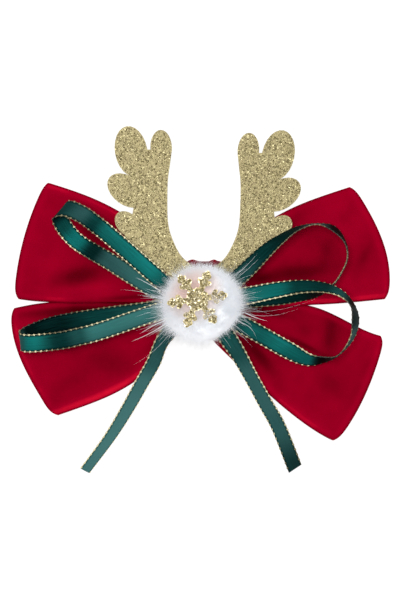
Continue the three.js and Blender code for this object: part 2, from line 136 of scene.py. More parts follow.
# %% [markdown]
# A smooth line through a few given points keeps every table short. This is the uniform Catmull-Rom
# curve: it passes through each point, and its slope there follows from the two neighbours. Grids of
# such points become cloth: a sheet has a front and a back skin, and a rounded rim joins them.

# %% Smooth lines and closed sheets
def spline_at(points, shares):
    points = np.asarray(points, float)
    before, after = 2 * points[0] - points[1], 2 * points[-1] - points[-2]
    row = np.vstack([before, points, after])
    place = np.clip(shares, 0, 1) * (len(points) - 1)
    start = np.minimum(place.astype(int), len(points) - 2)
    t = (place - start)[:, None]
    a, b, c, d = (row[start + k] for k in range(4))
    return b + 0.5 * t * (c - a + t * (2 * a - 5 * b + 4 * c - d + t * (3 * b - a - 3 * c + d)))


def grid_faces(at, flip=False):
    """Faces between the neighbours in a grid of point numbers."""
    quads = np.stack([at[:-1, :-1], at[:-1, 1:], at[1:, 1:], at[1:, :-1]], -1).reshape(-1, 4)
    return quads[:, ::-1] if flip else quads


def closed_sheet(middle, facing, wall, rim):
    """A sheet of even thickness round a grid of middle points, with a rim that bulges outwards all round."""
    rows, columns = middle.shape[:2]
    count = rows * columns
    spots = np.concatenate([(middle + side * facing * wall / 2).reshape(-1, 3) for side in (1, -1)])
    at = np.arange(count).reshape(rows, columns)
    faces = [grid_faces(at), grid_faces(at + count, flip=True)]
    border = np.concatenate([at[0, :-1], at[:-1, -1], at[-1, :0:-1], at[:0:-1, 0]])
    flat = middle.reshape(-1, 3)
    way_along = unit(np.gradient(middle, axis=0)).reshape(-1, 3)
    way_across = unit(np.gradient(middle, axis=1)).reshape(-1, 3)
    row_of, column_of = np.divmod(border, columns)
    push = way_along[border] * ((row_of == rows - 1) * 1.0 - (row_of == 0))[:, None]
    push += way_across[border] * ((column_of == columns - 1) * 1.0 - (column_of == 0))[:, None]
    rim_at = 2 * count + np.arange(len(border))
    after, rim_after = np.roll(border, -1), np.roll(rim_at, -1)
    faces.append(np.stack([border, rim_at, rim_after, after], -1))
    faces.append(np.stack([rim_at, border + count, after + count, rim_after], -1))
    return np.concatenate([spots, flat[border] + unit(push) * rim]), np.concatenate(faces)


# %% [markdown]
# ## Green satin ribbon
# The ribbon is quarter-inch polyester satin. It leaves from under the fur ball in four loops and
# two free tails. Each row of a route gives a place on the ribbon's middle line, the way that one
# long edge lies from the other as seen from the front (turn), and how far that edge is raised
# (lift). That says both where the ribbon goes and how it twists. The routes are those of the
# solids, so the thin ribbon lies inside them. The last columns paint light and shade into the
# satin as the picture shows it: painted shade near black inside the bends, a teal painted gleam on
# the slopes (painted gleam), and a grey painted bloom where it lies open to the light (painted
# bloom). A few rows are only there for that painted light.

# %% Ribbon routes, x y z in mm, turn and lift in degrees, painted gleam and painted bloom from 0 to 1
RIBBON = {"width": 6.5, "thick": 0.34, "satin": 6.1, "crown": 0.16, "rim": 0.08, "step": 0.8, "columns": 15}
LAYER = {"low": 16.8, "middle": 18.1, "high": 19.4}

LOOP_ROUTES = {
    "ribbon_loop_upper_left": [
        (-11.2, 3.6, LAYER["high"], 50, 0, 0.4, 0),
        (-21.3, 12.6, LAYER["high"] + 0.8, 50, 6, 0.68, 0),
        (-34.2, 23.9, LAYER["high"] + 0.8, 51, 8, 0.6, 0),
        (-39.7, 28.3, 19.7, 52, 6, 0.32, 0),
        (-44.4, 31.6, 19, 54, 4, 0.2, 0.24),
        (-50.1, 33.8, 17.2, 52, 0, 0.28, 0.08),
        (-52.8, 31.8, 14.8, 49, -4, 0.08, 0),
        (-51.2, 27.4, 12.9, 48, -12, 0.46, 0),
        (-46.6, 22, 13.3, 49, -18, 0.86, 0),
        (-40.2, 17.8, 14.2, 51, -15, 0.18, 0),
        (-33.8, 14.1, 15.2, 54, -12, 0.28, 0.35),
        (-21.9, 6.6, 16.6, 57, -2, 0.36, 0.3),
        (-11.6, 0.6, LAYER["low"], 62, 0, 0.2, 0.2),
    ],
    "ribbon_loop_lower_left": [
        (-11.2, -3.2, LAYER["high"], 106, 0, 0.4, 0.3),
        (-18.3, -5, LAYER["high"] + 0.2, 106, 0, 0.44, 0.38),
        (-37.7, -11.5, LAYER["high"] + 0.2, 105, 0, 0.48, 0.3),
        (-45.4, -13.5, 19.1, 102, 0, 0.33, 0.08),
        (-52, -14.9, 18.4, 100, 0, 0.22, 0),
        (-63, -16, 16.6, 96, 0, 0.72, 0),
        (-67, -15.3, 13.9, 97, 0, 0.2, 0.4),
        (-63.6, -12.4, 11.6, 100, -6, 0, 0),
        (-54, -9, 12, 103, -10, 0.08, 0),
        (-37.7, -6.2, 14.9, 101, -6, 0.3, 0),
        (-20, -3.9, LAYER["middle"] - 0.2, 98, 0, 0.35, 0.1),
        (-11, -2.4, LAYER["middle"], 98, 0, 0.3, 0.2),
    ],
    "ribbon_loop_upper_right": [
        (9.4, 5, LAYER["low"] + 0.1, -46, 0, 0.4, 0.1),
        (16.1, 10.9, 17.95, -46, 11, 0.3, 0.1),
        (23.3, 17.9, 19.3, -47, 36, 0.33, 0),
        (28.9, 22.4, 19.7, -51, 58, 0.22, 0),
        (35, 26.2, 19.2, -64, 76, 0.15, 0),
        (42, 27.9, 17.4, -90, 86, 0.12, 0.4),
        (48.6, 26.2, 16, -120, 70, 0, 0),
        (52.8, 21.2, 15.4, -155, 82, 0.1, 0),
        (53.6, 15.6, 15.2, -182, 86, 0.1, 0.4),
        (51.6, 10.4, 15.2, -206, 86, 0.14, 0.5),
        (48.2, 5.6, 15.2, -222, 85, 0.14, 0.4),
        (42.6, 2.2, 15.4, -246, 72, 0.15, 0),
        (34.6, 1.6, 16.2, -262, 42, 0.3, 0),
        (24, 0.9, 16.95, -266, 6, 0.28, 0),
        (9.4, -0.2, LAYER["low"], -268, 0, 0.2, 0),
    ],
    "ribbon_loop_lower_right": [
        (9.4, 0.6, LAYER["middle"], -82, 0, 0.5, 0.1),
        (17.8, 1.8, 19.4, -81, 12, 0.68, 0.1),
        (27, 3.6, 20.4, -82, 26, 0.75, 0),
        (36.3, 4.9, 21.6, -88, 42, 0.4, 0),
        (44.4, 4.6, 22.6, -98, 54, 0.35, 0),
        (50.6, 2.6, 22, -118, 66, 0.5, 0.1),
        (55, -1.6, 20.4, -146, 74, 0, 0),
        (56.4, -7.6, 18.6, -178, 63, 0.06, 0),
        (55, -14.4, 17.2, -206, 75, 0.26, 0.4),
        (50, -20.5, 16.2, -236, 86, 0.1, 0.1),
        (44, -22.1, 16, -262, 66, 0, 0),
        (38.6, -21.8, 16.4, -280, 42, 0.66, 0),
        (30.7, -17.9, 17.4, -297, 8, 0.64, 0),
        (19.6, -11.7, LAYER["middle"] + 0.2, -298, 0, 0.48, 0),
        (9.8, -6.4, LAYER["middle"] + 0.2, -298, 0, 0.35, 0.1),
    ],
}
TAIL_ROUTES = {
    "ribbon_tail_left": [
        (-8.6, -7.4, LAYER["low"] + 0.1, 138, 0, 0.2, 0),
        (-14.6, -15.2, 17.6, 150, 38, 0.35, 0.3),
        (-17.8, -22.9, 17, 152, 38, 0.4, 0.4),
        (-22.4, -31, 14.6, 151, 40, 0.4, 0.85),
        (-27.6, -40.2, 9.6, 150, 44, 0.4, 1),
        (-34.3, -51, 4.8, 146, 50, 0.4, 1),
        (-43.7, -63.7, 3.02, 142, 54, 0.4, 0.9),
    ],
    "ribbon_tail_right": [
        (5.6, -7.6, LAYER["low"], 40, 0, 0.4, 0),
        (9.3, -13.7, 17, 31, 4, 0.45, 0.1),
        (13.1, -19.4, 17.3, 31, 26, 0.42, 0.15),
        (17.9, -28.1, 16.6, 29, 38, 0.42, 0.5),
        (23.5, -38.2, 12.6, 27, 36, 0.38, 0.56),
        (28.6, -47.4, 6.6, 25, 33, 0.34, 0.46),
        (34.8, -63, 2.6, 21, 32, 0.2, 0.1),
    ],
}
TAIL_CUT = {"ribbon_tail_left": 0, "ribbon_tail_right": -16}

# %% [markdown]
# ### Walking along a ribbon
# A strip that turns needs a direction at each place: forward along the route, sideways to its edge, and out
# of its face. They are worked out at many close places, with the true length run so far, so that sections
# and stitches can be set at even distances. Satin gives a little on the bias, so in a tight bend its edge
# is only partly squared to the route. A short straight piece past the end leaves room for a slanted cut.

# %% Ribbon directions at even distances
PAST_END = 8.0
SQUARE = 0.4
ROUTE_PLACES = 900
HOLD = 0.1


def step_between(values, shares):
    place = shares * (len(values) - 1)
    start = np.minimum(place.astype(int), len(values) - 2)
    return values[start] + (values[start + 1] - values[start]) * fade(place - start, HOLD, 1 - HOLD)


def ribbon_route(rows):
    rows = np.array(rows, float)
    turn, lift = np.radians(rows[:, 3]), np.radians(rows[:, 4])
    ways = np.stack([np.cos(turn) * np.cos(lift), np.sin(turn) * np.cos(lift), np.sin(lift)], -1)
    shares = np.linspace(0, 1, ROUTE_PLACES)
    middle = spline_at(rows[:, :3], shares)
    forward = unit(np.gradient(middle, axis=0))
    edge = spline_at(ways, shares)
    edge = unit(edge - SQUARE * forward * (edge * forward).sum(1, keepdims=True))
    run = np.concatenate([[0], np.cumsum(np.linalg.norm(np.diff(middle, axis=0), axis=1))])
    length = run[-1]
    return {
        "length": length,
        "run": np.append(run, length + PAST_END),
        "middle": np.vstack([middle, middle[-1] + forward[-1] * PAST_END]),
        "edge": np.vstack([edge, edge[-1]]),
        "forward": np.vstack([forward, forward[-1]]),
        "painted_gleam": np.append(step_between(rows[:, 5], shares), rows[-1, 5]),
        "painted_bloom": np.append(step_between(rows[:, 6], shares), rows[-1, 6]),
    }


def walk(route, runs, what):
    if what in ("painted_gleam", "painted_bloom"):
        return np.interp(runs, route["run"], route[what])
    return np.stack([np.interp(runs, route["run"], route[what][:, k]) for k in range(3)], -1)


def keep_on_points(piece, name, values):
    """Keeps one number with each point of a piece, for its shader."""
    store = piece.data.attributes.new(name, "FLOAT", "POINT")
    store.data.foreach_set("value", np.asarray(values, np.float32).ravel())


routes = {name: ribbon_route(rows) for name, rows in {**LOOP_ROUTES, **TAIL_ROUTES}.items()}
for name, route in routes.items():
    print(name, "is", round(route["length"], 1), "mm long")

# %% [markdown]
# ### Satin
# Satin shows long threads that float along the ribbon, so it mirrors light in a broad soft streak
# and turns nearly black where it is tilted away. Here much of that is painted: the painted gleam of
# each place picks the green, from near black painted shade to teal, a little uneven from thread to
# thread, and the painted bloom mixes in a grey sheen. A stretched highlight of the shader runs along
# the ribbon. The real threads lie about 0.1 mm apart, too fine to show, so the streaks are drawn 0.4 mm wide.

# %% Satin and gold thread
STREAK = {"per_mm_along": 0.12, "per_mm_across": 2.5, "uneven": 0.18}
# The greens run from near black painted shade to teal painted gleam, and the bloom grey is a painted grey
# sheen.
GREENS = [(0, "020c0c"), (0.3, "082d2b"), (0.5, "0e4744"), (0.8, "126b67"), (1, "147672")]
PAINTED_BLOOM_GREY = "477876"
# The golds run from dull olive in painted shade to pale gold in painted light.
GOLDS = [(0.08, "35332a"), (0.36, "8f8763"), (0.6, "e2dab0")]

satin, tree = new_surface("woven polyester satin")
at = add_node(tree, "ShaderNodeUVMap", uv_map="ribbon_mm")
stretch = add_node(tree, "ShaderNodeMapping", {
    "Vector": at.outputs[0],
    "Scale": (STREAK["per_mm_along"], STREAK["per_mm_across"], 1),
})
threads = add_node(tree, "ShaderNodeTexNoise", {"Vector": stretch.outputs[0], "Scale": 1, "Detail": 3})
uneven = add_node(tree, "ShaderNodeMapRange", {
    "Value": threads.outputs["Fac"], "To Min": -STREAK["uneven"], "To Max": STREAK["uneven"],
})
painted_gleam = add_node(tree, "ShaderNodeAttribute", attribute_name="painted_gleam")
streaked_painted_gleam = add_node(tree, "ShaderNodeMath", {
    0: painted_gleam.outputs["Fac"], 1: uneven.outputs[0],
}, operation="ADD")
greens = add_node(tree, "ShaderNodeValToRGB", {"Fac": streaked_painted_gleam.outputs[0]}, GREENS)
painted_bloom = add_node(tree, "ShaderNodeAttribute", attribute_name="painted_bloom")
green = add_node(tree, "ShaderNodeMix", {
    "Factor": painted_bloom.outputs["Fac"], 6: greens.outputs["Color"], 7: from_hex(PAINTED_BLOOM_GREY),
}, data_type="RGBA")
weave = add_node(tree, "ShaderNodeBump", {
    "Height": threads.outputs["Fac"], "Strength": 0.1, "Distance": 0.1 * MM,
})
grain = add_node(tree, "ShaderNodeTangent", direction_type="UV_MAP", uv_map="ribbon_mm")
shader = add_node(tree, "ShaderNodeBsdfPrincipled", {
    "Base Color": green.outputs[2],
    "Metallic": 0.25,
    "Roughness": 0.46,
    "Specular IOR Level": 0.0,
    "Anisotropic": 0.6,
    "Normal": weave.outputs[0],
    "Tangent": grain.outputs[0],
})
add_node(tree, "ShaderNodeOutputMaterial", {"Surface": shader.outputs[0]})

# Metallised polyester thread: its painted gleam makes it a pale warm gold in the light and a dull olive in
# painted shade where the ribbon shades itself.
gold_thread, tree = new_surface("metallised gold thread")
painted_gleam = add_node(tree, "ShaderNodeAttribute", attribute_name="painted_gleam")
pale = add_node(tree, "ShaderNodeValToRGB", {"Fac": painted_gleam.outputs["Fac"]}, GOLDS)
shader = add_node(tree, "ShaderNodeBsdfPrincipled", {
    "Base Color": pale.outputs["Color"], "Metallic": 0.3, "Roughness": 0.4,
})
add_node(tree, "ShaderNodeOutputMaterial", {"Surface": shader.outputs[0]})
print("made", satin.name, "and", gold_thread.name)

# %% [markdown]
# ### The strips themselves
# A strip is a grid: sections along the ribbon, columns across it. It is a little crowned, as cut
# ribbon is, and about 0.3 mm thick. A map in millimetres goes with it, so that the satin's streaks
# follow the ribbon round each bend. Under the stitches along its edges the painted gleam and bloom
# fade, so the satin is darker there.

# %% Satin strips
UNDER_STITCHES = {"from": 0.78, "to": 0.92, "dull": 0.75, "at_rim": 0.05}


def lay_chart(piece, along_mm, across_mm):
    """A map of a strip in millimetres, the same for its front and its back skin."""
    grid = np.stack([along_mm.ravel(), np.broadcast_to(across_mm, along_mm.shape).ravel()], -1)
    border = len(piece.data.vertices) - 2 * len(grid)
    flat = np.concatenate([grid, grid, np.zeros((border, 2))])
    corner = np.zeros(len(piece.data.loops), int)
    piece.data.loops.foreach_get("vertex_index", corner)
    chart = piece.data.uv_layers.new(name="ribbon_mm")
    chart.data.foreach_set("uv", flat[corner].astype(np.float32).ravel())


def satin_strip(name, cut=0):
    route = routes[name]
    sections = int(route["length"] / RIBBON["step"]) + 1
    column = np.linspace(-1, 1, RIBBON["columns"])
    slant = math.tan(math.radians(cut)) * RIBBON["satin"] / 2 / route["length"]
    runs = np.linspace(0, route["length"], sections)[:, None] * (1 + slant * column)
    edge, forward = walk(route, runs, "edge"), unit(walk(route, runs, "forward"))
    face = unit(np.cross(edge, forward))
    across = column * RIBBON["satin"] / 2
    crown = RIBBON["crown"] * (1 - column ** 2)
    middle = walk(route, runs, "middle") + unit(edge) * across[:, None] + face * crown[:, None]
    spots, faces = closed_sheet(middle, face, RIBBON["thick"], RIBBON["rim"])
    piece = new_piece(name + "_satin", spots, faces, satin, [name])
    lay_chart(piece, runs, across)
    dull = UNDER_STITCHES["dull"] * fade(np.abs(column), UNDER_STITCHES["from"], UNDER_STITCHES["to"])
    rim = np.full(len(spots) - 2 * runs.size, UNDER_STITCHES["at_rim"])
    # Painted light: the gleam and bloom of each place, faded under the stitches, are kept for the shader.
    for look in ("painted_gleam", "painted_bloom"):
        value = (walk(route, runs, look) * (1 - dull)).ravel()
        keep_on_points(piece, look, np.concatenate([value, value, rim]))
    return piece


strips = {name: satin_strip(name, TAIL_CUT.get(name, 0)) for name in routes}

# %% [markdown]
# ### Gold edges
# A gold thread is stitched over both long edges. From the front it reads as a row of gold beads,
# one about every 2 mm, on a thin gold line. Each stitch is modelled as a slanted bead that wraps
# the edge, and the thin line as a fine cord, so that both stay on the ribbon through every twist.

# %% Gold stitches along both edges
STITCH = {
    "pitch": 2.05, "half_length": 0.52, "half_width": 0.39, "half_height": 0.3, "slant": 20, "end_gap": 0.4,
    "cord": 0.17, "cord_step": 1.2, "cord_light": 0.8, "painted_bloom_share": 0.4,
}
ASKEW = (0.3, 0.5, 0.8)

ball = bmesh.new()
bmesh.ops.create_icosphere(ball, subdivisions=2, radius=1)
BEAD = np.array([point.co for point in ball.verts])
BEAD_FACES = np.array([[point.index for point in face.verts] for face in ball.faces])
ball.free()


def tube(path, radius, sides=6):
    forward = unit(np.gradient(path, axis=0))
    side = unit(np.cross(forward, np.roll(forward, 1, axis=1) + ASKEW))
    other = np.cross(forward, side)
    angle = np.linspace(0, 2 * np.pi, sides, endpoint=False)
    rings = side[:, None] * np.cos(angle)[None, :, None] + other[:, None] * np.sin(angle)[None, :, None]
    spots = (path[:, None] + rings * radius).reshape(-1, 3)
    at = np.arange(len(spots)).reshape(len(path), sides)
    caps = [at[0, ::-1].tolist(), at[-1].tolist()]
    return spots, grid_faces(np.hstack([at, at[:, :1]])).tolist() + caps


# The painted light on the gold: the satin's painted gleam, with a share of its painted bloom.
def gold_light(route, runs):
    return walk(route, runs, "painted_gleam") + STITCH["painted_bloom_share"] * walk(route, runs, "painted_bloom")


def bead_row(route, side, end):
    """Slanted beads along one edge, with the painted light on each of their points."""
    runs = np.arange(STITCH["pitch"] / 2, end - STITCH["end_gap"], STITCH["pitch"])
    edge, forward = unit(walk(route, runs, "edge")), unit(walk(route, runs, "forward"))
    face = np.cross(edge, forward)
    lean = math.radians(STITCH["slant"])
    long_way = forward * math.cos(lean) + edge * side * math.sin(lean)
    wide_way = np.cross(face, long_way)
    centre = walk(route, runs, "middle") + edge * side * RIBBON["satin"] / 2
    beads = (
        centre[:, None]
        + BEAD[None, :, :1] * long_way[:, None] * STITCH["half_length"]
        + BEAD[None, :, 1:2] * wide_way[:, None] * STITCH["half_width"]
        + BEAD[None, :, 2:] * face[:, None] * STITCH["half_height"]
    )
    faces = BEAD_FACES[None] + np.arange(len(runs))[:, None, None] * len(BEAD)
    return beads.reshape(-1, 3), faces.reshape(-1, 3).tolist(), np.repeat(gold_light(route, runs), len(BEAD))


def edge_line(route, side, end):
    """A fine cord along one edge, with the painted light on each of its points."""
    runs = np.linspace(0, end, int(end / STITCH["cord_step"]))
    path = walk(route, runs, "middle") + unit(walk(route, runs, "edge")) * side * RIBBON["satin"] / 2
    spots, faces = tube(path, STITCH["cord"])
    light = gold_light(route, runs) * STITCH["cord_light"]
    return spots, faces, np.repeat(light, len(spots) // len(runs))


def gold_edge(name, cut=0):
    route = routes[name]
    slant = math.tan(math.radians(cut)) * RIBBON["satin"] / 2
    spots, faces, lights = [], [], []
    for side in (-1, 1):
        end = route["length"] + side * slant
        for form in (bead_row, edge_line):
            form_spots, form_faces, light = form(route, side, end)
            first = sum(len(known) for known in spots)
            faces += [[first + corner for corner in face] for face in form_faces]
            spots.append(form_spots)
            lights.append(light)
    piece = new_piece(name + "_gold_edge", np.concatenate(spots), faces, gold_thread)
    keep_on_points(piece, "painted_gleam", np.concatenate(lights))
    return piece


gold_edges = {name: gold_edge(name, TAIL_CUT.get(name, 0)) for name in routes}

# %% [markdown]
# ### The two free tails
# The tails hang free from under the fur ball and end in a plain cut. The picture shows both from end
# to end.

for name in TAIL_ROUTES:
    route = routes[name]

# %% [markdown]
# ## Red velvet loops
# Each loop is one length of wide velvet ribbon, folded back on itself and gathered at the waist. Its
# corners come from the picture: where it leaves the centre band (neck) and where it folds (tip). The
# edges swell past straight lines: how far in mm, how pointed, and at which share of the way out they
# are widest. The fold's own swell has a lean instead. The corners are cut by a small share of the
# way. From the side, a short profile takes the cloth out along the front, round the fold and home
# along the table. Cloth simulation would lose the corners, so the folds are worked in directly.

# %% Velvet loop sizes
VELVET_LOOPS = {
    "velvet_loop_upper_left": {
        "side": -1, "neck_top": (-7.4, 12.9), "neck_bottom": (-7.4, 0.2), "tip_top": (-57.9, 43.5),
        "tip_bottom": (-69.5, 0.9), "tip_swell": (2.3, 0), "top_swell": (4.6, 1, 0.5),
        "bottom_swell": (1.1, 1.2, 0.8), "corners": (0.012, 0.022), "lap": 1, "lap_end": 0.85, "face": 0.6,
    },
    "velvet_loop_lower_left": {
        "side": -1, "neck_top": (-7.4, -0.5), "neck_bottom": (-12.4, -13.2), "tip_top": (-70.6, -3.6),
        "tip_bottom": (-55.5, -43.1), "tip_swell": (3.1, 0.5), "top_swell": (1.8, 1, 0.72),
        "bottom_swell": (6.5, 1, 0.38), "corners": (0.015, 0.034), "lap": -1, "lap_end": 0.85, "face": 0.6,
    },
    "velvet_loop_upper_right": {
        "side": 1, "neck_top": (9.2, 12.9), "neck_bottom": (9.2, -0.6), "tip_top": (56.1, 42),
        "tip_bottom": (68.9, 0.8), "tip_swell": (4.2, -0.3), "top_swell": (5.4, 1, 0.42),
        "bottom_swell": (1.6, 1, 0.5), "corners": (0.02, 0.018), "lap": 1, "lap_end": 0.55, "face": 0.63,
    },
    "velvet_loop_lower_right": {
        "side": 1, "neck_top": (9.2, -1.2), "neck_bottom": (3.6, -14.1), "tip_top": (67.6, -14),
        "tip_bottom": (50.1, -52.1), "tip_swell": (2.2, -0.15), "top_swell": (5.3, 2, 0.5),
        "bottom_swell": (2.7, 0.6, 0.65), "corners": (0.022, 0.018), "lap": -1, "lap_end": 0.55, "face": 0.56,
    },
}
# Soft dents in the front, each with its middle, half length, half width, turn in degrees, depth and darkness.
# The darkness is painted shade, in the dents and where ribbons and antlers cast shadows; below zero it is a
# painted lighter patch.
DENTS = {
    "velvet_loop_upper_left": [
        (-46, 8.8, 11, 3.6, 12, 0.9, 0.34), (-44, 4.2, 10, 1.6, 8, -0.5, -0.08),
        (-27, 0.9, 12, 1, 3, 0.4, 0.3), (-40.5, 23.2, 9, 2.6, -39, 0.2, 0.34),
        (-57, 11, 9, 3, 70, -0.3, -0.06),
    ],
    "velvet_loop_lower_left": [
        (-33.5, -22.6, 9, 5, -20, 0.6, 0.14), (-42, -3.4, 22, 2.2, 5, 0.5, 0.45),
        (-50, -31, 8, 3, 30, 0.4, 0.1),
    ],
    "velvet_loop_upper_right": [
        (46.4, 17.5, 7, 3.2, 84, 0.5, 0.18), (36, 10, 16, 9, 12, 0.2, 0.12),
        (33.5, 9.6, 13, 3.2, 6, 0.7, 0.36), (60, 15.5, 7, 2.2, 62, 0.5, 0.14),
        (54, 31.5, 6, 3, 40, 0.3, 0.1), (21.5, 8, 4, 1.8, 4, 0.2, 0.3),
        (34.6, 29.4, 5, 3.2, 70, 0.1, 0.18),
    ],
    "velvet_loop_lower_right": [
        (47.6, -13, 8, 2.8, 84, 0.9, 0.25), (38, -11.2, 3, 2.4, 0, 0.5, 0.12),
        (23, -4.4, 8, 1.1, -12, 0.5, 0.3), (20.5, -19.5, 9, 2.6, -52, 0.7, 0.4),
        (48, -32, 7, 3, -40, 0.4, 0.1), (38.2, -17, 7.5, 1, -27, 0.2, 0.36),
    ],
}
# Painted sheen on the rims where the cloth turns, for the top, bottom and fold: strength, width in mm and
# the share of the way out where the rim begins. Along the very edge the red is darker, as a thin dark line.
PAINTED_RIM_SHEEN = {
    "velvet_loop_upper_left": [(0.55, 1.0, 0.3), (0.55, 1.0, 0.6), (0.3, 1.2, 0.3)],
    "velvet_loop_lower_left": [(0.3, 1.0, 0.3), (0.85, 1.9, 0.3), (0.4, 1.2, 0.3)],
    "velvet_loop_upper_right": [(0.1, 1.0, 0.3), (0.65, 1.2, 0.3), (0.4, 1.0, 0.3)],
    "velvet_loop_lower_right": [(0.4, 1.0, 0.3), (0.5, 1.4, 0.3), (0.4, 1.0, 0.3)],
}
# Edge settings: how far in the painted rim sheen sits, the value on the rim strip, and the thin darker line
# along the very edge.
VELVET_EDGE = {"inset": 1.0, "dark": 0.3, "line": 0.45, "shade": 0.28, "begins_over": 0.2}
# Share of the way out, and height of the middle of the cloth above the table.
VELVET_PROFILE = [
    (0, 11.7), (0.12, 11.8), (0.3, 12.9), (0.58, 12), (0.82, 9.4), (0.96, 7), (1, 4.6),
    (0.96, 2), (0.82, 0.6), (0.66, 0.6), (0.5, 3.4), (0.34, 7.4), (0.12, 8.4), (0, 8.6),
]
VELVET = {"wall": 1.2, "rim": 0.4, "neck_share": 0.13, "neck_end": 0.6, "corner_power": 14}
LAP = {"from": 0.02, "full": 0.2, "fades_over": 0.2, "over": 1.1, "under": 2.0, "power": 8}
GATHER = {"depth": 0.8, "count": 2.5, "start": 0.12, "full": 0.26, "end": 0.66}
ROLL = {"radius": 2.4, "start": 0.16, "full": 0.5, "share": 0.4, "turn": 0.96, "sharp": 4}
DENT_ENDS = 3
# Painted shade: how much darker the red is where the cloth is tucked under another loop, near the neck and on
# the back.
PAINTED_SHADE = {"tucked": 0.25, "tucked_power": 6, "neck": 0.12, "neck_from": 0.12, "neck_to": 0.4, "back": 0.2}

# %% [markdown]
# ### Velvet
# Velvet is woven with a short standing pile. Looking down into the pile it is deep and dark, and where the
# cloth turns away its fibre tips catch the light, so rims and folds glow. The sheen of the shader does
# that. Light and shade are also painted into the red: painted shade in the dents, in shadows cast by the
# ribbons and antlers, where a loop is tucked under another, near the neck and on the back, and a painted
# sheen on the turned rims, where the red is brightest. A number kept with each point carries this tone,
# and soft patches vary it at random. The fibres are about 0.1 mm thick, too fine to show, and are drawn
# as a 0.4 mm grain.

# %% Velvet
PILE_GRAIN, PRESSED_PATCH, PATCHY = 0.4, 14.0, 0.2
# The reds run from deep red in painted shade to the bright red of the painted rim sheen.
REDS = [(0, "3c0004"), (0.3, "640011"), (0.6, "8f001e"), (0.75, "9b0022"), (1, "e21434")]

velvet, tree = new_surface("short pile velvet")
where = add_node(tree, "ShaderNodeTexCoord")
patches = add_node(tree, "ShaderNodeTexNoise", {
    "Vector": where.outputs["Object"], "Scale": 1 / (PRESSED_PATCH * MM), "Detail": 3, "Roughness": 0.55,
})
pile = add_node(tree, "ShaderNodeTexNoise", {
    "Vector": where.outputs["Object"], "Scale": 1 / (PILE_GRAIN * MM), "Detail": 2,
})
stand = add_node(tree, "ShaderNodeAttribute", attribute_name="pile_tone_and_painted_light")
leaning = add_node(tree, "ShaderNodeMapRange", {
    "Value": patches.outputs["Fac"], "To Min": -PATCHY, "To Max": PATCHY,
})
red_tone_and_painted_light = add_node(tree, "ShaderNodeMath", {
    0: leaning.outputs[0], 1: stand.outputs["Fac"],
}, operation="ADD")
red = add_node(tree, "ShaderNodeValToRGB", {"Fac": red_tone_and_painted_light.outputs[0]}, REDS)
fluff = add_node(tree, "ShaderNodeBump", {
    "Height": pile.outputs["Fac"], "Strength": 0.25, "Distance": 0.15 * MM,
})
shader = add_node(tree, "ShaderNodeBsdfPrincipled", {
    "Base Color": red.outputs["Color"],
    "Roughness": 0.95,
    "Specular IOR Level": 0.0,
    "Sheen Weight": 0.5,
    "Sheen Roughness": 0.3,
    "Sheen Tint": from_hex("ff0616"),
    "Normal": fluff.outputs[0],
})
add_node(tree, "ShaderNodeOutputMaterial", {"Surface": shader.outputs[0]})
print("made", velvet.name)

# %% Velvet cloth from the table
def swollen_edge(neck, tip, swell, away, out):
    neck, tip = np.array(neck, float), np.array(tip, float)
    chord = tip - neck
    outward = unit(np.array([-chord[1], chord[0]]))
    outward *= 1 if outward[1] * away >= 0 else -1
    amount, power, widest = swell
    past = amount * np.sin(np.pi * out ** (math.log(0.5) / math.log(widest))) ** power
    return neck + out[:, None] * chord + past[:, None] * outward


def velvet_outline(loop, across, reach):
    """Where the cloth lies seen from the front, the share of the way out, and how wide it is there."""
    off_middle = 2 * across - 1
    out = np.clip((reach - VELVET["neck_share"]) / (1 - VELVET["neck_share"]), 0, 1)
    in_band = np.maximum(1 - reach / VELVET["neck_share"], 0)
    top = swollen_edge(loop["neck_top"], loop["tip_top"], loop["top_swell"], 1, out)
    bottom = swollen_edge(loop["neck_bottom"], loop["tip_bottom"], loop["bottom_swell"], -1, out)
    fold = np.subtract(loop["tip_top"], loop["tip_bottom"])
    outward = unit(np.array([fold[1], -fold[0]])) * loop["side"]
    flat = bottom + across[:, None] * (top - bottom)
    swell, lean = loop["tip_swell"]
    flat += (swell * (1 - off_middle ** 2) * (1 + lean * off_middle) * out ** 2)[:, None] * outward
    mouth = loop["neck_bottom"][0] + across * (loop["neck_top"][0] - loop["neck_bottom"][0])
    flat[:, 0] += in_band * (loop["side"] * VELVET["neck_end"] - mouth)
    return flat, out, np.linalg.norm(top - bottom, axis=1)


def dents_at(name, flat, to_front):
    """How deep the front is dented at each place, and how much painted shade lies there."""
    deep, dent_painted_shade = np.zeros(len(flat)), np.zeros(len(flat))
    for x, y, half_length, half_width, turn, depth, dark in DENTS[name]:
        turn = math.radians(turn)
        off_x, off_y = flat[:, 0] - x, flat[:, 1] - y
        run = (off_x * math.cos(turn) + off_y * math.sin(turn)) / half_length
        side = (off_y * math.cos(turn) - off_x * math.sin(turn)) / half_width
        dent = np.exp(-run ** 2 - side ** 2) * np.minimum(to_front * DENT_ENDS, 1)
        deep += depth * dent
        dent_painted_shade += dark * dent
    return deep, dent_painted_shade


def painted_rim_sheen_at(name, reach, insides):
    """The painted sheen along the rims, and the thin darker line on the very edge."""
    rim_sheen_paint, dark_line = np.zeros(len(reach)), np.zeros(len(reach))
    for (strength, wide, start), inside in zip(PAINTED_RIM_SHEEN[name], insides):
        begun = fade(reach, start, start + VELVET_EDGE["begins_over"])
        rim_sheen_paint = np.maximum(rim_sheen_paint, strength * np.exp(-((inside - VELVET_EDGE["inset"]) / wide) ** 2) * begun)
        dark_line = np.maximum(dark_line, np.exp(-(inside / VELVET_EDGE["line"]) ** 2) * begun)
    return rim_sheen_paint, dark_line


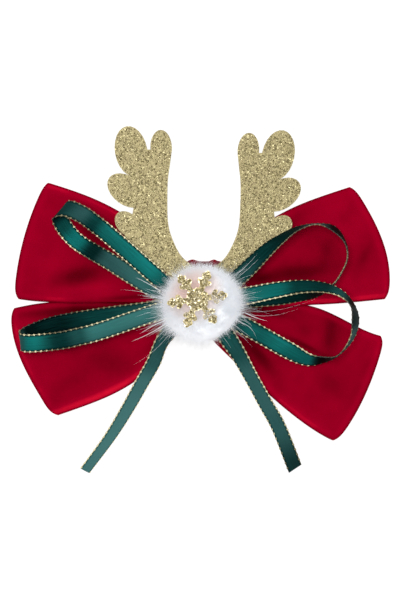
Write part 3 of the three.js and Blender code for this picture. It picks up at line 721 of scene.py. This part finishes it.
def velvet_spots(name, across, along):
    """Places on the middle of the cloth, and the tone of the red at each, with its painted shade and painted
    rim sheen.
    """
    loop = VELVET_LOOPS[name]
    profile = spline_at(VELVET_PROFILE, along)
    corner = np.where(across > 0.5, *loop["corners"])
    reach = profile[:, 0] * (1 - corner * (2 * across - 1) ** VELVET["corner_power"])
    flat, out, width = velvet_outline(loop, across, reach)
    front = np.cos(np.pi * along)
    to_front = np.maximum(front, 0)
    lap = to_front * fade(out, LAP["from"], LAP["full"])
    lap *= 1 - fade(out, loop["lap_end"] - LAP["fades_over"], loop["lap_end"])
    if loop["lap"] > 0:
        flat[:, 1] -= LAP["over"] * lap * (1 - across) ** LAP["power"]

    gather = fade(reach, GATHER["start"], GATHER["full"]) * (1 - fade(reach, GATHER["full"], GATHER["end"]))
    height = profile[:, 1] + GATHER["depth"] * gather * np.cos(2 * np.pi * GATHER["count"] * across)
    inwards = np.clip(1 - np.minimum(across, 1 - across) * width / ROLL["radius"], 0, 1)
    roll = ROLL["share"] * ROLL["radius"] * (1 - np.sqrt(1 - ROLL["turn"] * inwards ** 2))
    height -= np.clip(ROLL["sharp"] * front, -1, 1) * roll * fade(reach, ROLL["start"], ROLL["full"])
    deep, dent_painted_shade = dents_at(name, flat, to_front)
    height -= deep
    # Painted shade of the dents and cast shadows darkens the red.
    stand = loop["face"] - dent_painted_shade
    # Where the cloth is tucked under the loop above it sinks and painted shade darkens it; painted shade also
    # darkens it near the neck and on the back.
    if loop["lap"] < 0:
        height -= LAP["under"] * lap * across ** LAP["power"]
        stand -= PAINTED_SHADE["tucked"] * lap * across ** PAINTED_SHADE["tucked_power"]
    stand -= PAINTED_SHADE["neck"] * to_front * (1 - fade(reach, PAINTED_SHADE["neck_from"], PAINTED_SHADE["neck_to"]))
    stand -= PAINTED_SHADE["back"] * np.maximum(-front, 0)
    from_fold = (1 - profile[:, 0]) * np.linalg.norm(np.subtract(loop["tip_top"], loop["neck_top"]))
    rim_sheen_paint, dark_line = painted_rim_sheen_at(name, reach, ((1 - across) * width, across * width, from_fold))
    # Painted sheen lightens the turned rims, and a thin line along the very edge is darkened.
    stand += (1 - stand) * rim_sheen_paint - VELVET_EDGE["shade"] * dark_line
    return np.column_stack([flat, np.maximum(height, VELVET["wall"] / 2)]), stand


# %% [markdown]
# The cloth is placed on a fine grid. Its normals come from the grid itself, and the two skins sit
# half a wall to each side. The tone of the red, with its painted shade and painted rim sheen, is kept
# with each point, for the shader.

# %% Velvet loops
VELVET_GRID = {"across": 57, "along": 170}


def velvet_loop(name):
    loop = VELVET_LOOPS[name]
    steps = (np.linspace(0, 1, VELVET_GRID[way]) for way in ("across", "along"))
    across, along = np.meshgrid(*steps)
    if loop["side"] < 0:
        across = 1 - across
    middle, stand = velvet_spots(name, across.ravel(), along.ravel())
    middle = middle.reshape(*across.shape, 3)
    facing = unit(np.cross(np.gradient(middle, axis=1), np.gradient(middle, axis=0)))
    spots, faces = closed_sheet(middle, facing, VELVET["wall"], VELVET["rim"])
    piece = new_piece(name + "_cloth", spots, faces, velvet, [name])
    border = len(spots) - 2 * len(stand)
    keep_on_points(piece, "pile_tone_and_painted_light", np.concatenate([stand, stand, np.full(border, VELVET_EDGE["dark"])]))
    return piece, middle


cloths = {name: velvet_loop(name) for name in VELVET_LOOPS}

# %% [markdown]
# ### Flat sizes
# A loop is cut from velvet ribbon as wide as its fold, and as long as the way out and home. Towards
# the waist the cloth is gathered, so its flat cut is a strip that narrows there.

# %% [markdown]
# ## Centre band
# A short length of the same velvet is wrapped round the waist. Only its upper edge shows, between the
# antlers, as two small pleats. It is a ring with rounded corners, seen along X, and the pleats run round it.

# %% Centre band
BAND = {"half_height": 13.8, "low": 6.9, "high": 13.7, "round": 1.8, "wall": 1.2, "left": -5.6, "width": 13.0}
BAND_GRID = {"across": 53, "round": 12, "straight": 12}
BAND_EDGE = {"roll": 0.35, "over": 0.9, "outer_inset": 0.1, "inner_inset": 0.15}
PLEATS = [(-3.5, 1.7), (4.4, 1.3)]
PLEAT = {"deep": 0.7, "shallow": 0.2, "deep_from": 11.5, "deep_to": 13.6}
BAND_PLEAT_PAINTED_LIGHT = {"between": 0.25, "on_pleats": 0.15}


def ring_of_band():
    """The band seen along X: a rectangle with round corners, and the ways out of it."""
    half = BAND["half_height"] - BAND["round"]
    low, high = BAND["low"] + BAND["round"], BAND["high"] - BAND["round"]
    centres = np.array([(half, high), (-half, high), (-half, low), (half, low)])
    share = np.linspace(0, 1, BAND_GRID["straight"] + 2)[1:-1, None]
    spots, outward = [], []
    for quarter, middle in enumerate(centres):
        angle = np.radians(np.linspace(90 * quarter, 90 * quarter + 90, BAND_GRID["round"]))
        way = np.stack([np.cos(angle), np.sin(angle)], -1)
        arc = middle + way * BAND["round"]
        after = centres[(quarter + 1) % 4] + way[-1] * BAND["round"]
        spots += [arc, arc[-1] + share * (after - arc[-1])]
        outward += [way, np.repeat(way[-1:], BAND_GRID["straight"], axis=0)]
    return np.concatenate(spots), np.concatenate(outward)


ring, ring_out = ring_of_band()
x = BAND["left"] + np.linspace(0, BAND["width"], BAND_GRID["across"])
ridge = sum(np.exp(-((x - place) / half) ** 2) for place, half in PLEATS)
at_ends = fade(np.abs(ring[:, 0]), PLEAT["deep_from"], PLEAT["deep_to"])
depth = PLEAT["shallow"] + (PLEAT["deep"] - PLEAT["shallow"]) * at_ends
from_side = np.minimum(x - x[0], x[-1] - x)
edge_roll = BAND_EDGE["roll"] * np.clip(1 - from_side / BAND_EDGE["over"], 0, 1) ** 2
outer_by = BAND["wall"] / 2 - BAND_EDGE["outer_inset"] - edge_roll + depth[:, None] * ridge
inner_by = BAND_EDGE["inner_inset"] - BAND["wall"] / 2 + edge_roll + np.zeros((len(ring), 1))

skins = []
for by in (outer_by, inner_by):
    yz = ring[:, None] + ring_out[:, None] * by[..., None]
    skins.append(np.concatenate([np.broadcast_to(x[:, None], by.shape + (1,)), yz], -1).reshape(-1, 3))
at = np.arange(outer_by.size).reshape(outer_by.shape)
outer = np.vstack([at, at[:1]])
inner = outer + outer_by.size
faces = [grid_faces(outer, flip=True), grid_faces(inner)]
for column, flip in ((0, False), (-1, True)):
    faces.append(grid_faces(np.stack([outer[:, column], inner[:, column]], 1), flip))
band = new_piece(
    "centre_band_cloth", np.concatenate(skins), np.concatenate(faces), velvet, ["centre_band"],
)
# Painted light and shade: the red is lighter on the pleats and darker between them.
pile_tone_and_painted_light = BAND_PLEAT_PAINTED_LIGHT["between"] + BAND_PLEAT_PAINTED_LIGHT["on_pleats"] * ridge
keep_on_points(band, "pile_tone_and_painted_light", np.tile(pile_tone_and_painted_light, 2 * len(ring)))

# %% [markdown]
# ## Gold glitter
# The antlers are cut from foam sheet covered with glitter, and the snowflake is a thicker cut-out
# with coarse glitter. Glitter is thousands of tiny mirror flakes that lie at slightly different
# angles, so some flash and their neighbours stay dull. The solids keep their shape. They get a gold
# glitter base and a layer of real flakes, each a small tilted hexagon. Real flakes are about 0.4 mm
# across and are drawn about 0.6 to 0.8 mm, so that they show.

# %% Glitter surfaces
# Each flake and glitter cell takes a random step of its golds: the tone differs at random, and the brightest
# steps are painted glints.
GLITTER = {
    "antlers": {
        "surface": "gold glitter foam sheet", "cell": 0.5,
        "golds_with_painted_glints": [(0, "5e5331"), (0.5, "6e633b"), (0.84, "7a7046"), (1, "c6bc8e")],
        "piece": "antler_glitter", "count": 14000, "radius": 0.32, "tilt": 0.13, "lift": 0.08,
        "edge_gap": 0.29, "seed": 11,
    },
    "snowflake": {
        "surface": "coarse gold glitter", "cell": 0.8,
        "golds_with_painted_glints": [(0, "5f522d"), (0.3, "85774a"), (0.66, "a69865"), (0.9, "fff4d2")],
        "piece": "snowflake_glitter", "count": 3000, "radius": 0.36, "tilt": 0.5, "lift": 0.18,
        "edge_gap": 0.26, "seed": 12,
    },
}


def glitter_surface(name, golds_with_painted_glints, cell):
    surface, tree = new_surface(name)
    where = add_node(tree, "ShaderNodeTexCoord")
    cells = add_node(tree, "ShaderNodeTexVoronoi", {
        "Vector": where.outputs["Object"], "Scale": 1 / (cell * MM),
    })
    own = add_node(tree, "ShaderNodeAttribute", attribute_name="flake")
    mixed = add_node(tree, "ShaderNodeMath", {
        0: cells.outputs["Color"], 1: own.outputs["Fac"],
    }, operation="ADD")
    tone = add_node(tree, "ShaderNodeMath", {0: mixed.outputs[0]}, operation="FRACT")
    gold = add_node(tree, "ShaderNodeValToRGB", {"Fac": tone.outputs[0]}, golds_with_painted_glints)
    facets = add_node(tree, "ShaderNodeBump", {
        "Height": cells.outputs["Distance"], "Strength": 0.4, "Distance": 0.12 * MM,
    })
    shader = add_node(tree, "ShaderNodeBsdfPrincipled", {
        "Base Color": gold.outputs["Color"],
        "Metallic": 0.4,
        "Roughness": 0.38,
        "Normal": facets.outputs[0],
    })
    add_node(tree, "ShaderNodeOutputMaterial", {"Surface": shader.outputs[0]})
    print("made", name)
    return surface


# %% [markdown]
# Flakes are strewn over the flat front and back. They keep off the cut edges by nearly their own
# size, so that the outlines stay as clean as the die cut them.

# %% Glitter flakes on a solid
FLAKE = {"sides": 6, "smallest": 0.7, "largest": 1.2}
UPRIGHT, LEVEL = 0.1, 0.9


def away_from_edges(solid, places, middle, gap):
    """Tells which points lie farther than gap from the solid's cut edges, seen from the front."""
    upright = [face for face in solid.polygons if abs(face.normal.z) < UPRIGHT]
    cut = np.array([edge for face in upright for edge in face.edge_keys])
    level = np.abs(places[cut[:, 0], 2] - places[cut[:, 1], 2]) < 1e-3
    start, end = places[cut[level, 0], :2], places[cut[level, 1], :2]
    way = end - start
    span = np.maximum((way ** 2).sum(1), 1e-9)
    nearest = np.full(len(middle), np.inf)
    for a, step, length in zip(start, way, span):
        share = np.clip(((middle[:, :2] - a) @ step) / length, 0, 1)
        nearest = np.minimum(nearest, np.linalg.norm(middle[:, :2] - a - share[:, None] * step, axis=1))
    return nearest > gap


def glitter_flakes(node, surface, row):
    random = np.random.default_rng(row["seed"])
    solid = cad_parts[node].data
    solid.calc_loop_triangles()
    places = np.array([point.co for point in solid.vertices]) / MM
    corners = places[np.array([face.vertices for face in solid.loop_triangles])]
    cross = np.cross(corners[:, 1] - corners[:, 0], corners[:, 2] - corners[:, 0])
    area = np.linalg.norm(cross, axis=1) * (np.abs(unit(cross)[:, 2]) > LEVEL)
    picked = random.choice(len(area), row["count"], p=area / area.sum())
    a, b = random.random((2, row["count"], 1))
    a, b = np.where(a + b > 1, 1 - a, a), np.where(a + b > 1, 1 - b, b)
    base = corners[picked]
    middle = base[:, 0] + a * (base[:, 1] - base[:, 0]) + b * (base[:, 2] - base[:, 0])
    kept = away_from_edges(solid, places, middle, row["edge_gap"])
    middle, out = middle[kept], unit(cross)[picked][kept]
    count = len(middle)
    facing = unit(out + row["tilt"] * random.normal(size=(count, 3)))
    side = unit(np.cross(facing, random.normal(size=(count, 3))))
    other = np.cross(facing, side)
    size = row["radius"] * random.uniform(FLAKE["smallest"], FLAKE["largest"], (count, 1, 1))
    angle = np.linspace(0, 2 * np.pi, FLAKE["sides"], endpoint=False)[None, :, None]
    rims = (side[:, None] * np.cos(angle) + other[:, None] * np.sin(angle)) * size
    spots = (middle + out * row["lift"])[:, None] + rims
    faces = np.arange(count * FLAKE["sides"]).reshape(count, FLAKE["sides"])
    piece = new_piece(row["piece"], spots.reshape(-1, 3), faces, surface, smooth=False)
    keep_on_points(piece, "flake", np.repeat(random.random(count), FLAKE["sides"]))


for node, row in GLITTER.items():
    surface = glitter_surface(row["surface"], row["golds_with_painted_glints"], row["cell"])
    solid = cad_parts[node]
    solid.data.materials.clear()
    solid.data.materials.append(surface)
    glitter_flakes(node, surface, row)

# %% [markdown]
# ## White fur ball
# The ball is a tuft of soft white fur. A thousand fine hairs cross every square centimetre, so its rim is a
# haze and not a line. Hair strands made as thin tapered spikes give that haze, over a fluffy round heart.
# They are combed: longer towards the left, cropped at the lower right. Light passes from hair to hair
# inside real fur, which a faint painted glow of its own stands in for. The white ground lights the lower
# side, and the gold above and round the snowflake casts a warm reflection and shade on the fur. Both are
# painted into its colour.

# %% White fur
WHITES = [(0, "d6d9dd"), (0.4, "ebedf0"), (1, "fdfdfe")]
CLUMP = {"size": 4.0, "darkest": -0.25, "lightest": 0.65}
FROM_BELOW = {"starts_at": -4.0, "full_at": -13.0, "light": 0.6}
# A painted warm reflection and shade from the gold round the snowflake.
PAINTED_GOLD_REFLECTION_AND_SHADE = {"colour": "debaa9", "at": (-4.0, 3.4, 44.0), "full_to": 3.0, "gone_at": 13.0}

fur, tree = new_surface("soft white fur")
where = add_node(tree, "ShaderNodeTexCoord")
clumps = add_node(tree, "ShaderNodeTexNoise", {
    "Vector": where.outputs["Object"], "Scale": 1 / (CLUMP["size"] * MM), "Detail": 2,
})
mottled = add_node(tree, "ShaderNodeMapRange", {
    "Value": clumps.outputs["Fac"], "To Min": CLUMP["darkest"], "To Max": CLUMP["lightest"],
})
part = add_node(tree, "ShaderNodeSeparateXYZ", {"Vector": where.outputs["Object"]})
lit = add_node(tree, "ShaderNodeMapRange", {
    "Value": part.outputs["Y"],
    "From Min": FROM_BELOW["starts_at"] * MM,
    "From Max": FROM_BELOW["full_at"] * MM,
    "To Max": FROM_BELOW["light"],
})
light = add_node(tree, "ShaderNodeMath", {0: lit.outputs[0], 1: mottled.outputs[0]}, operation="ADD")
white = add_node(tree, "ShaderNodeValToRGB", {"Fac": light.outputs[0]}, WHITES)
from_gold = add_node(tree, "ShaderNodeVectorMath", {
    0: where.outputs["Object"], 1: [place * MM for place in PAINTED_GOLD_REFLECTION_AND_SHADE["at"]],
}, operation="DISTANCE")
away = add_node(tree, "ShaderNodeMapRange", {
    "Value": from_gold.outputs["Value"], "From Min": PAINTED_GOLD_REFLECTION_AND_SHADE["full_to"] * MM, "From Max": PAINTED_GOLD_REFLECTION_AND_SHADE["gone_at"] * MM,
})
tint = add_node(tree, "ShaderNodeMix", {
    "Factor": away.outputs[0], 6: from_hex(PAINTED_GOLD_REFLECTION_AND_SHADE["colour"]), 7: white.outputs["Color"],
}, data_type="RGBA")
# The emission is a painted glow that stands in for light passing from hair to hair.
shader = add_node(tree, "ShaderNodeBsdfPrincipled", {
    "Base Color": tint.outputs[2],
    "Roughness": 0.8,
    "Specular IOR Level": 0.2,
    "Emission Color": from_hex("f1f3f8"),
    "Emission Strength": 0.22,
})
add_node(tree, "ShaderNodeOutputMaterial", {"Surface": shader.outputs[0]})
print("made", fur.name)

# %% Heart of the fur ball
FUR_BALL = {
    "centre": (0.4, -1.2, 32.2), "heart": 12.0, "under": 20.3, "over": 45.2, "sunk": 0.5, "tufts": 0.025,
}
TUFT_WAVES = ((1.1, 0.7, 0.4), (-0.5, 1.2, 0.9), (0.8, -0.6, 1.3))
centre = np.array(FUR_BALL["centre"])

heart = bmesh.new()
bmesh.ops.create_icosphere(heart, subdivisions=5, radius=FUR_BALL["heart"])
heart_spots = np.array([point.co for point in heart.verts])
heart_faces = [[point.index for point in face.verts] for face in heart.faces]
heart.free()
tufts = sum(np.sin(heart_spots @ np.array(way)) for way in TUFT_WAVES)
heart_spots = heart_spots * (1 + FUR_BALL["tufts"] * tufts[:, None]) + centre
heart_spots[:, 2] = np.clip(heart_spots[:, 2], FUR_BALL["under"], FUR_BALL["over"] - FUR_BALL["sunk"])
fur_heart = new_piece("fur_ball", heart_spots, heart_faces, fur, ["pompom"])

# %% Fur hairs
FLAKE_ON_TOP = {"at": (-1.7, 0.3), "reach": 12.5}
TAPER, OFF_AXIS = 0.6, 0.37


def spikes(root, way, length, bend, width, segments):
    """Thin three-sided hairs from each root: they start along way, curve by bend and taper to a point."""
    count = len(root)
    side = unit(np.cross(way, np.roll(way, 1, axis=1) + OFF_AXIS))
    other = np.cross(way, side)
    share = np.arange(segments + 1) / segments
    line = root[:, None] + length[:, None, None] * (
        way[:, None] * share[None, :, None] + bend[:, None] * (share ** 2)[None, :, None]
    )
    angle = np.radians([0, 120, 240])
    rings = side[:, None] * np.cos(angle)[None, :, None] + other[:, None] * np.sin(angle)[None, :, None]
    thick = width[:, None] * (1 - share[None, :-1]) ** TAPER
    body = line[:, :-1, None] + rings[:, None] * thick[..., None, None]
    spots = np.concatenate([body.reshape(count, -1, 3), line[:, -1:]], 1)
    each = spots.shape[1]
    faces = [[2, 1, 0]]
    for ring in range(segments - 1):
        for k in range(3):
            a, b = 3 * ring + k, 3 * ring + (k + 1) % 3
            faces += [[a, b, b + 3], [a, b + 3, a + 3]]
    last = 3 * (segments - 1)
    faces += [[last + k, last + (k + 1) % 3, each - 1] for k in range(3)]
    return spots, np.array(faces)


def keep_off(spots):
    """Hair stays above the ribbons below the ball, and under the snowflake on top of it."""
    x, y = FLAKE_ON_TOP["at"]
    under_flake = np.hypot(spots[..., 0] - x, spots[..., 1] - y) < FLAKE_ON_TOP["reach"]
    top = np.where(under_flake, FUR_BALL["over"], np.inf)
    spots[..., 2] = np.clip(spots[..., 2], FUR_BALL["under"], top)
    return spots


def hair_piece(name, spots, faces):
    count, each = spots.shape[:2]
    shifted = faces[None] + (np.arange(count) * each)[:, None, None]
    return new_piece(name, spots.reshape(-1, 3), shifted.reshape(-1, 3), fur)


# How far the hair reaches, by the way it points in degrees as seen from the front.
HAIR_REACH = {
    0: 1.06, 30: 0.92, 60: 0.78, 90: 0.84, 120: 0.9, 150: 1,
    180: 1.24, 210: 1.38, 240: 1.25, 270: 1.1, 300: 0.54, 330: 0.64,
}
HAIR_LAYERS = {
    "fur_ball_hair": {"count": 18000, "short": 1.4, "long": 4.4, "width": 0.04, "seed": 21},
    "fur_ball_haze": {"count": 15000, "short": 3.2, "long": 5.8, "width": 0.03, "seed": 23},
}
HAIR = {"scatter": 0.06, "tousle": 0.35, "bend": 0.3, "rooted": 0.6, "segments": 2}
for name, row in HAIR_LAYERS.items():
    random = np.random.default_rng(row["seed"])
    step = np.arange(row["count"])
    up = 1 - (2 * step + 1) / row["count"]
    spin = step * math.pi * (3 - math.sqrt(5))
    radial = np.stack([np.cos(spin) * np.sqrt(1 - up ** 2), np.sin(spin) * np.sqrt(1 - up ** 2), up], -1)
    radial = unit(radial + HAIR["scatter"] * random.normal(size=radial.shape))
    towards = np.degrees(np.arctan2(radial[:, 1], radial[:, 0]))
    combed = np.interp(towards, list(HAIR_REACH), list(HAIR_REACH.values()), period=360)
    hairs, faces = spikes(
        centre + radial * (FUR_BALL["heart"] - HAIR["rooted"]),
        unit(radial + HAIR["tousle"] * random.normal(size=radial.shape)),
        random.uniform(row["short"], row["long"], row["count"]) * combed,
        HAIR["bend"] * random.normal(size=radial.shape),
        np.full(row["count"], row["width"]),
        HAIR["segments"],
    )
    hair_piece(name, keep_off(hairs), faces)

# %% [markdown]
# The guard hairs leave the ball near its equator and lie out almost flat over the ribbons, in small
# groups. A few strays reach far out over the velvet: two locks at the lower left, two hairs that
# rise to the right, and some along the upper ribbons. Hairs that stick together into a lock are
# drawn as one thicker hair. Some short hairs lie over three of the snowflake's arms and veil them.

# %% Guard hairs, in groups: direction and spread in degrees, how many, their reach and half width in mm
GUARD_GROUPS = [
    (206, 8, 22, 3, 9, 0.06), (172, 16, 28, 3, 9, 0.06), (216, 8, 4, 3, 8, 0.05), (42, 8, 5, 4, 8, 0.05),
    (4, 12, 14, 3, 7, 0.05), (-18, 9, 16, 3, 6, 0.06), (-34, 9, 5, 4, 8, 0.045), (-60, 12, 4, 2, 4, 0.04),
    (150, 14, 6, 2, 5, 0.05), (236, 10, 3, 2, 5, 0.04),
]
STRAYS = [
    {"from": (-13.6, -7.6), "to": (-23, -12.6), "turn": 200, "width": 0.16},
    {"from": (-13.4, -8.8), "to": (-26.4, -15.4), "turn": 214, "width": 0.15},
    {"from": (-15.2, 3.2), "to": (-24.6, 8.4), "turn": 146, "width": 0.13},
    {"from": (-15.4, 1.2), "to": (-22.2, 3.4), "turn": 190, "width": 0.09},
    {"from": (-15.6, 0.4), "to": (-30.2, 3.7), "turn": 152, "width": 0.06},
    {"from": (15.6, -4.6), "to": (24.2, -7.8), "turn": -28, "width": 0.14},
    {"from": (15.8, -5), "to": (36.4, -2.6), "turn": -14, "width": 0.045},
    {"from": (15.6, -4.2), "to": (42.6, 0.9), "turn": -4, "width": 0.03},
    {"from": (12.4, 9), "to": (20.6, 17.4), "turn": 40, "width": 0.06},
    {"from": (13, 8.2), "to": (21.6, 16), "turn": 38, "width": 0.045},
    {"from": (14.6, -8.4), "to": (20, -14), "turn": -16, "width": 0.08},
    {"from": (-12, -12.6), "to": (-25.8, -24.2), "turn": 232, "width": 0.035},
]
STRAY_HEIGHT = 23.0
VEILS = [
    {"at": (5.2, 0.7), "count": 46}, {"at": (2.8, -5.6), "count": 30}, {"at": (-6.6, -3.6), "count": 16},
]
VEIL = {
    "height": 48.0, "spread": 1.2, "short": 1.8, "long": 3.2, "width": 0.05, "rise": 0.05, "bend": 0.2,
    "bend_rise": 0.2, "seed": 24,
}
GUARD = {
    "lowest": -0.6, "highest": 0.0, "rise": 0.2, "tousle": 0.08, "bend": 0.14, "side_rise": 0.4,
    "inside": 3.5, "segments": 6, "seed": 22,
}


def guard_hairs(groups):
    random = np.random.default_rng(GUARD["seed"])
    turns, reaches, widths = [], [], []
    for direction, spread, count, nearest, farthest, width in groups:
        turns.append(np.radians(direction + spread * random.uniform(-1, 1, count)))
        reaches.append(random.uniform(nearest, farthest, count))
        widths.append(np.full(count, width))
    turn, length = np.concatenate(turns), np.concatenate(reaches) + GUARD["inside"]
    level = random.uniform(GUARD["lowest"], GUARD["highest"], len(turn))
    flat = np.sqrt(1 - level ** 2)
    radial = np.stack([np.cos(turn) * flat, np.sin(turn) * flat, level], -1)
    sideways = np.array([1, 1, GUARD["side_rise"]])
    way = radial * (1, 1, GUARD["rise"]) + GUARD["tousle"] * random.normal(size=radial.shape) * sideways
    bend = GUARD["bend"] * random.normal(size=way.shape) * sideways
    root = centre + radial * FUR_BALL["heart"]
    return spikes(root, unit(way), length, bend, np.concatenate(widths), GUARD["segments"])


def stray_hairs(rows):
    start = np.array([(*row["from"], STRAY_HEIGHT) for row in rows])
    end = np.array([(*row["to"], STRAY_HEIGHT) for row in rows])
    length = np.linalg.norm(end - start, axis=1)
    turn = np.radians([row["turn"] for row in rows])
    way = np.stack([np.cos(turn), np.sin(turn), np.zeros(len(rows))], -1)
    bend = (end - start) / length[:, None] - way
    return spikes(start, way, length, bend, np.array([row["width"] for row in rows]), GUARD["segments"])


def veil_hairs(rows):
    random = np.random.default_rng(VEIL["seed"])
    at = np.concatenate([np.repeat([row["at"]], row["count"], axis=0) for row in rows])
    flat = at + VEIL["spread"] * random.normal(size=at.shape)
    start = np.column_stack([flat, np.full(len(at), VEIL["height"])])
    way = unit(random.normal(size=start.shape) * (1, 1, VEIL["rise"]))
    length = random.uniform(VEIL["short"], VEIL["long"], len(at))
    start -= way * length[:, None] / 2
    bend = VEIL["bend"] * random.normal(size=way.shape) * (1, 1, VEIL["bend_rise"])
    return spikes(start, way, length, bend, np.full(len(at), VEIL["width"]), GUARD["segments"])


guard, faces = guard_hairs(GUARD_GROUPS)
stray, _ = stray_hairs(STRAYS)
veil, _ = veil_hairs(VEILS)
hair_piece("fur_guard_hair", np.concatenate([keep_off(np.concatenate([guard, stray])), veil]), faces)

# %% [markdown]
# ## Hair clip
# A plain sprung steel clip is hidden under the bow. Its solid stays, with softened edges and
# brushed steel: a bright metal that is drawn dull along fine lines. Real brush lines are finer than
# 0.1 mm and are drawn 0.4 mm wide.

# %% Steel clip
BRUSH_LINE = {"length": 16.7, "width": 0.4}
CLIP_EDGE = 0.2

steel, tree = new_surface("brushed sheet steel")
where = add_node(tree, "ShaderNodeTexCoord")
per_length, per_width = 1 / (BRUSH_LINE["length"] * MM), 1 / (BRUSH_LINE["width"] * MM)
along = add_node(tree, "ShaderNodeMapping", {
    "Vector": where.outputs["Object"], "Scale": (per_length, per_width, per_width),
})
brushed = add_node(tree, "ShaderNodeTexNoise", {"Vector": along.outputs[0], "Scale": 1, "Detail": 3})
dull = add_node(tree, "ShaderNodeMapRange", {"Value": brushed.outputs["Fac"], "To Min": 0.22, "To Max": 0.42})
shader = add_node(tree, "ShaderNodeBsdfPrincipled", {
    "Base Color": from_hex("c3c6ca"), "Metallic": 1.0, "Roughness": dull.outputs[0],
})
add_node(tree, "ShaderNodeOutputMaterial", {"Surface": shader.outputs[0]})
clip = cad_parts["hair_clip"]
clip.data.materials.clear()
clip.data.materials.append(steel)
soft_edge = clip.modifiers.new("softened edges", "BEVEL")
soft_edge.width, soft_edge.segments = CLIP_EDGE * MM, 2
print("made", steel.name)

# %% [markdown]
# ## Table and light
# The picture has a pure white ground without shadows, as from a light table: a sheet of milky acrylic
# that glows from below, so shadows drown in it. A wide lamp overhead and a pale room give soft light.

# %% Table and light, in metres
TABLE = {"half": 2.0, "below": 0.0003, "corners": [(-1, -1), (1, -1), (1, 1), (-1, 1)]}
LAMPS = {
    "overhead_softbox": {"at": (-0.14, 0.12, 1.4), "size": 0.6, "watts": 16},
    "side_softbox": {"at": (0.9, 0.5, 0.8), "size": 0.6, "watts": 3},
}
ROOM_LIGHT = 0.3

table_mesh = bpy.data.meshes.new("white_table")
corners = [(x * TABLE["half"], y * TABLE["half"], -TABLE["below"]) for x, y in TABLE["corners"]]
table_mesh.from_pydata(corners, [], [(0, 1, 2, 3)])
table = bpy.data.objects.new("white_table", table_mesh)
scene.collection.objects.link(table)
acrylic, tree = new_surface("lit milky acrylic sheet")
shader = add_node(tree, "ShaderNodeBsdfPrincipled", {
    "Base Color": from_hex("6c6c6c"),
    "Roughness": 0.9,
    "Emission Color": (1, 1, 1, 1),
    "Emission Strength": 0.95,
})
add_node(tree, "ShaderNodeOutputMaterial", {"Surface": shader.outputs[0]})
table_mesh.materials.append(acrylic)

for name, row in LAMPS.items():
    lamp = bpy.data.lights.new(name, "AREA")
    lamp.size, lamp.energy = row["size"], row["watts"]
    stand = bpy.data.objects.new(name, lamp)
    stand.location = row["at"]
    aim = -stand.location
    stand.rotation_euler = aim.to_track_quat("-Z", "Y").to_euler()
    scene.collection.objects.link(stand)
room = bpy.data.worlds.new("pale_room")
room.use_nodes = True
room.node_tree.nodes["Background"].inputs["Color"].default_value = (1, 1, 1, 1)
room.node_tree.nodes["Background"].inputs["Strength"].default_value = ROOM_LIGHT
scene.world = room
scene.view_settings.view_transform = "Standard"
print("made", table.name, "and", len(LAMPS), "lamps")
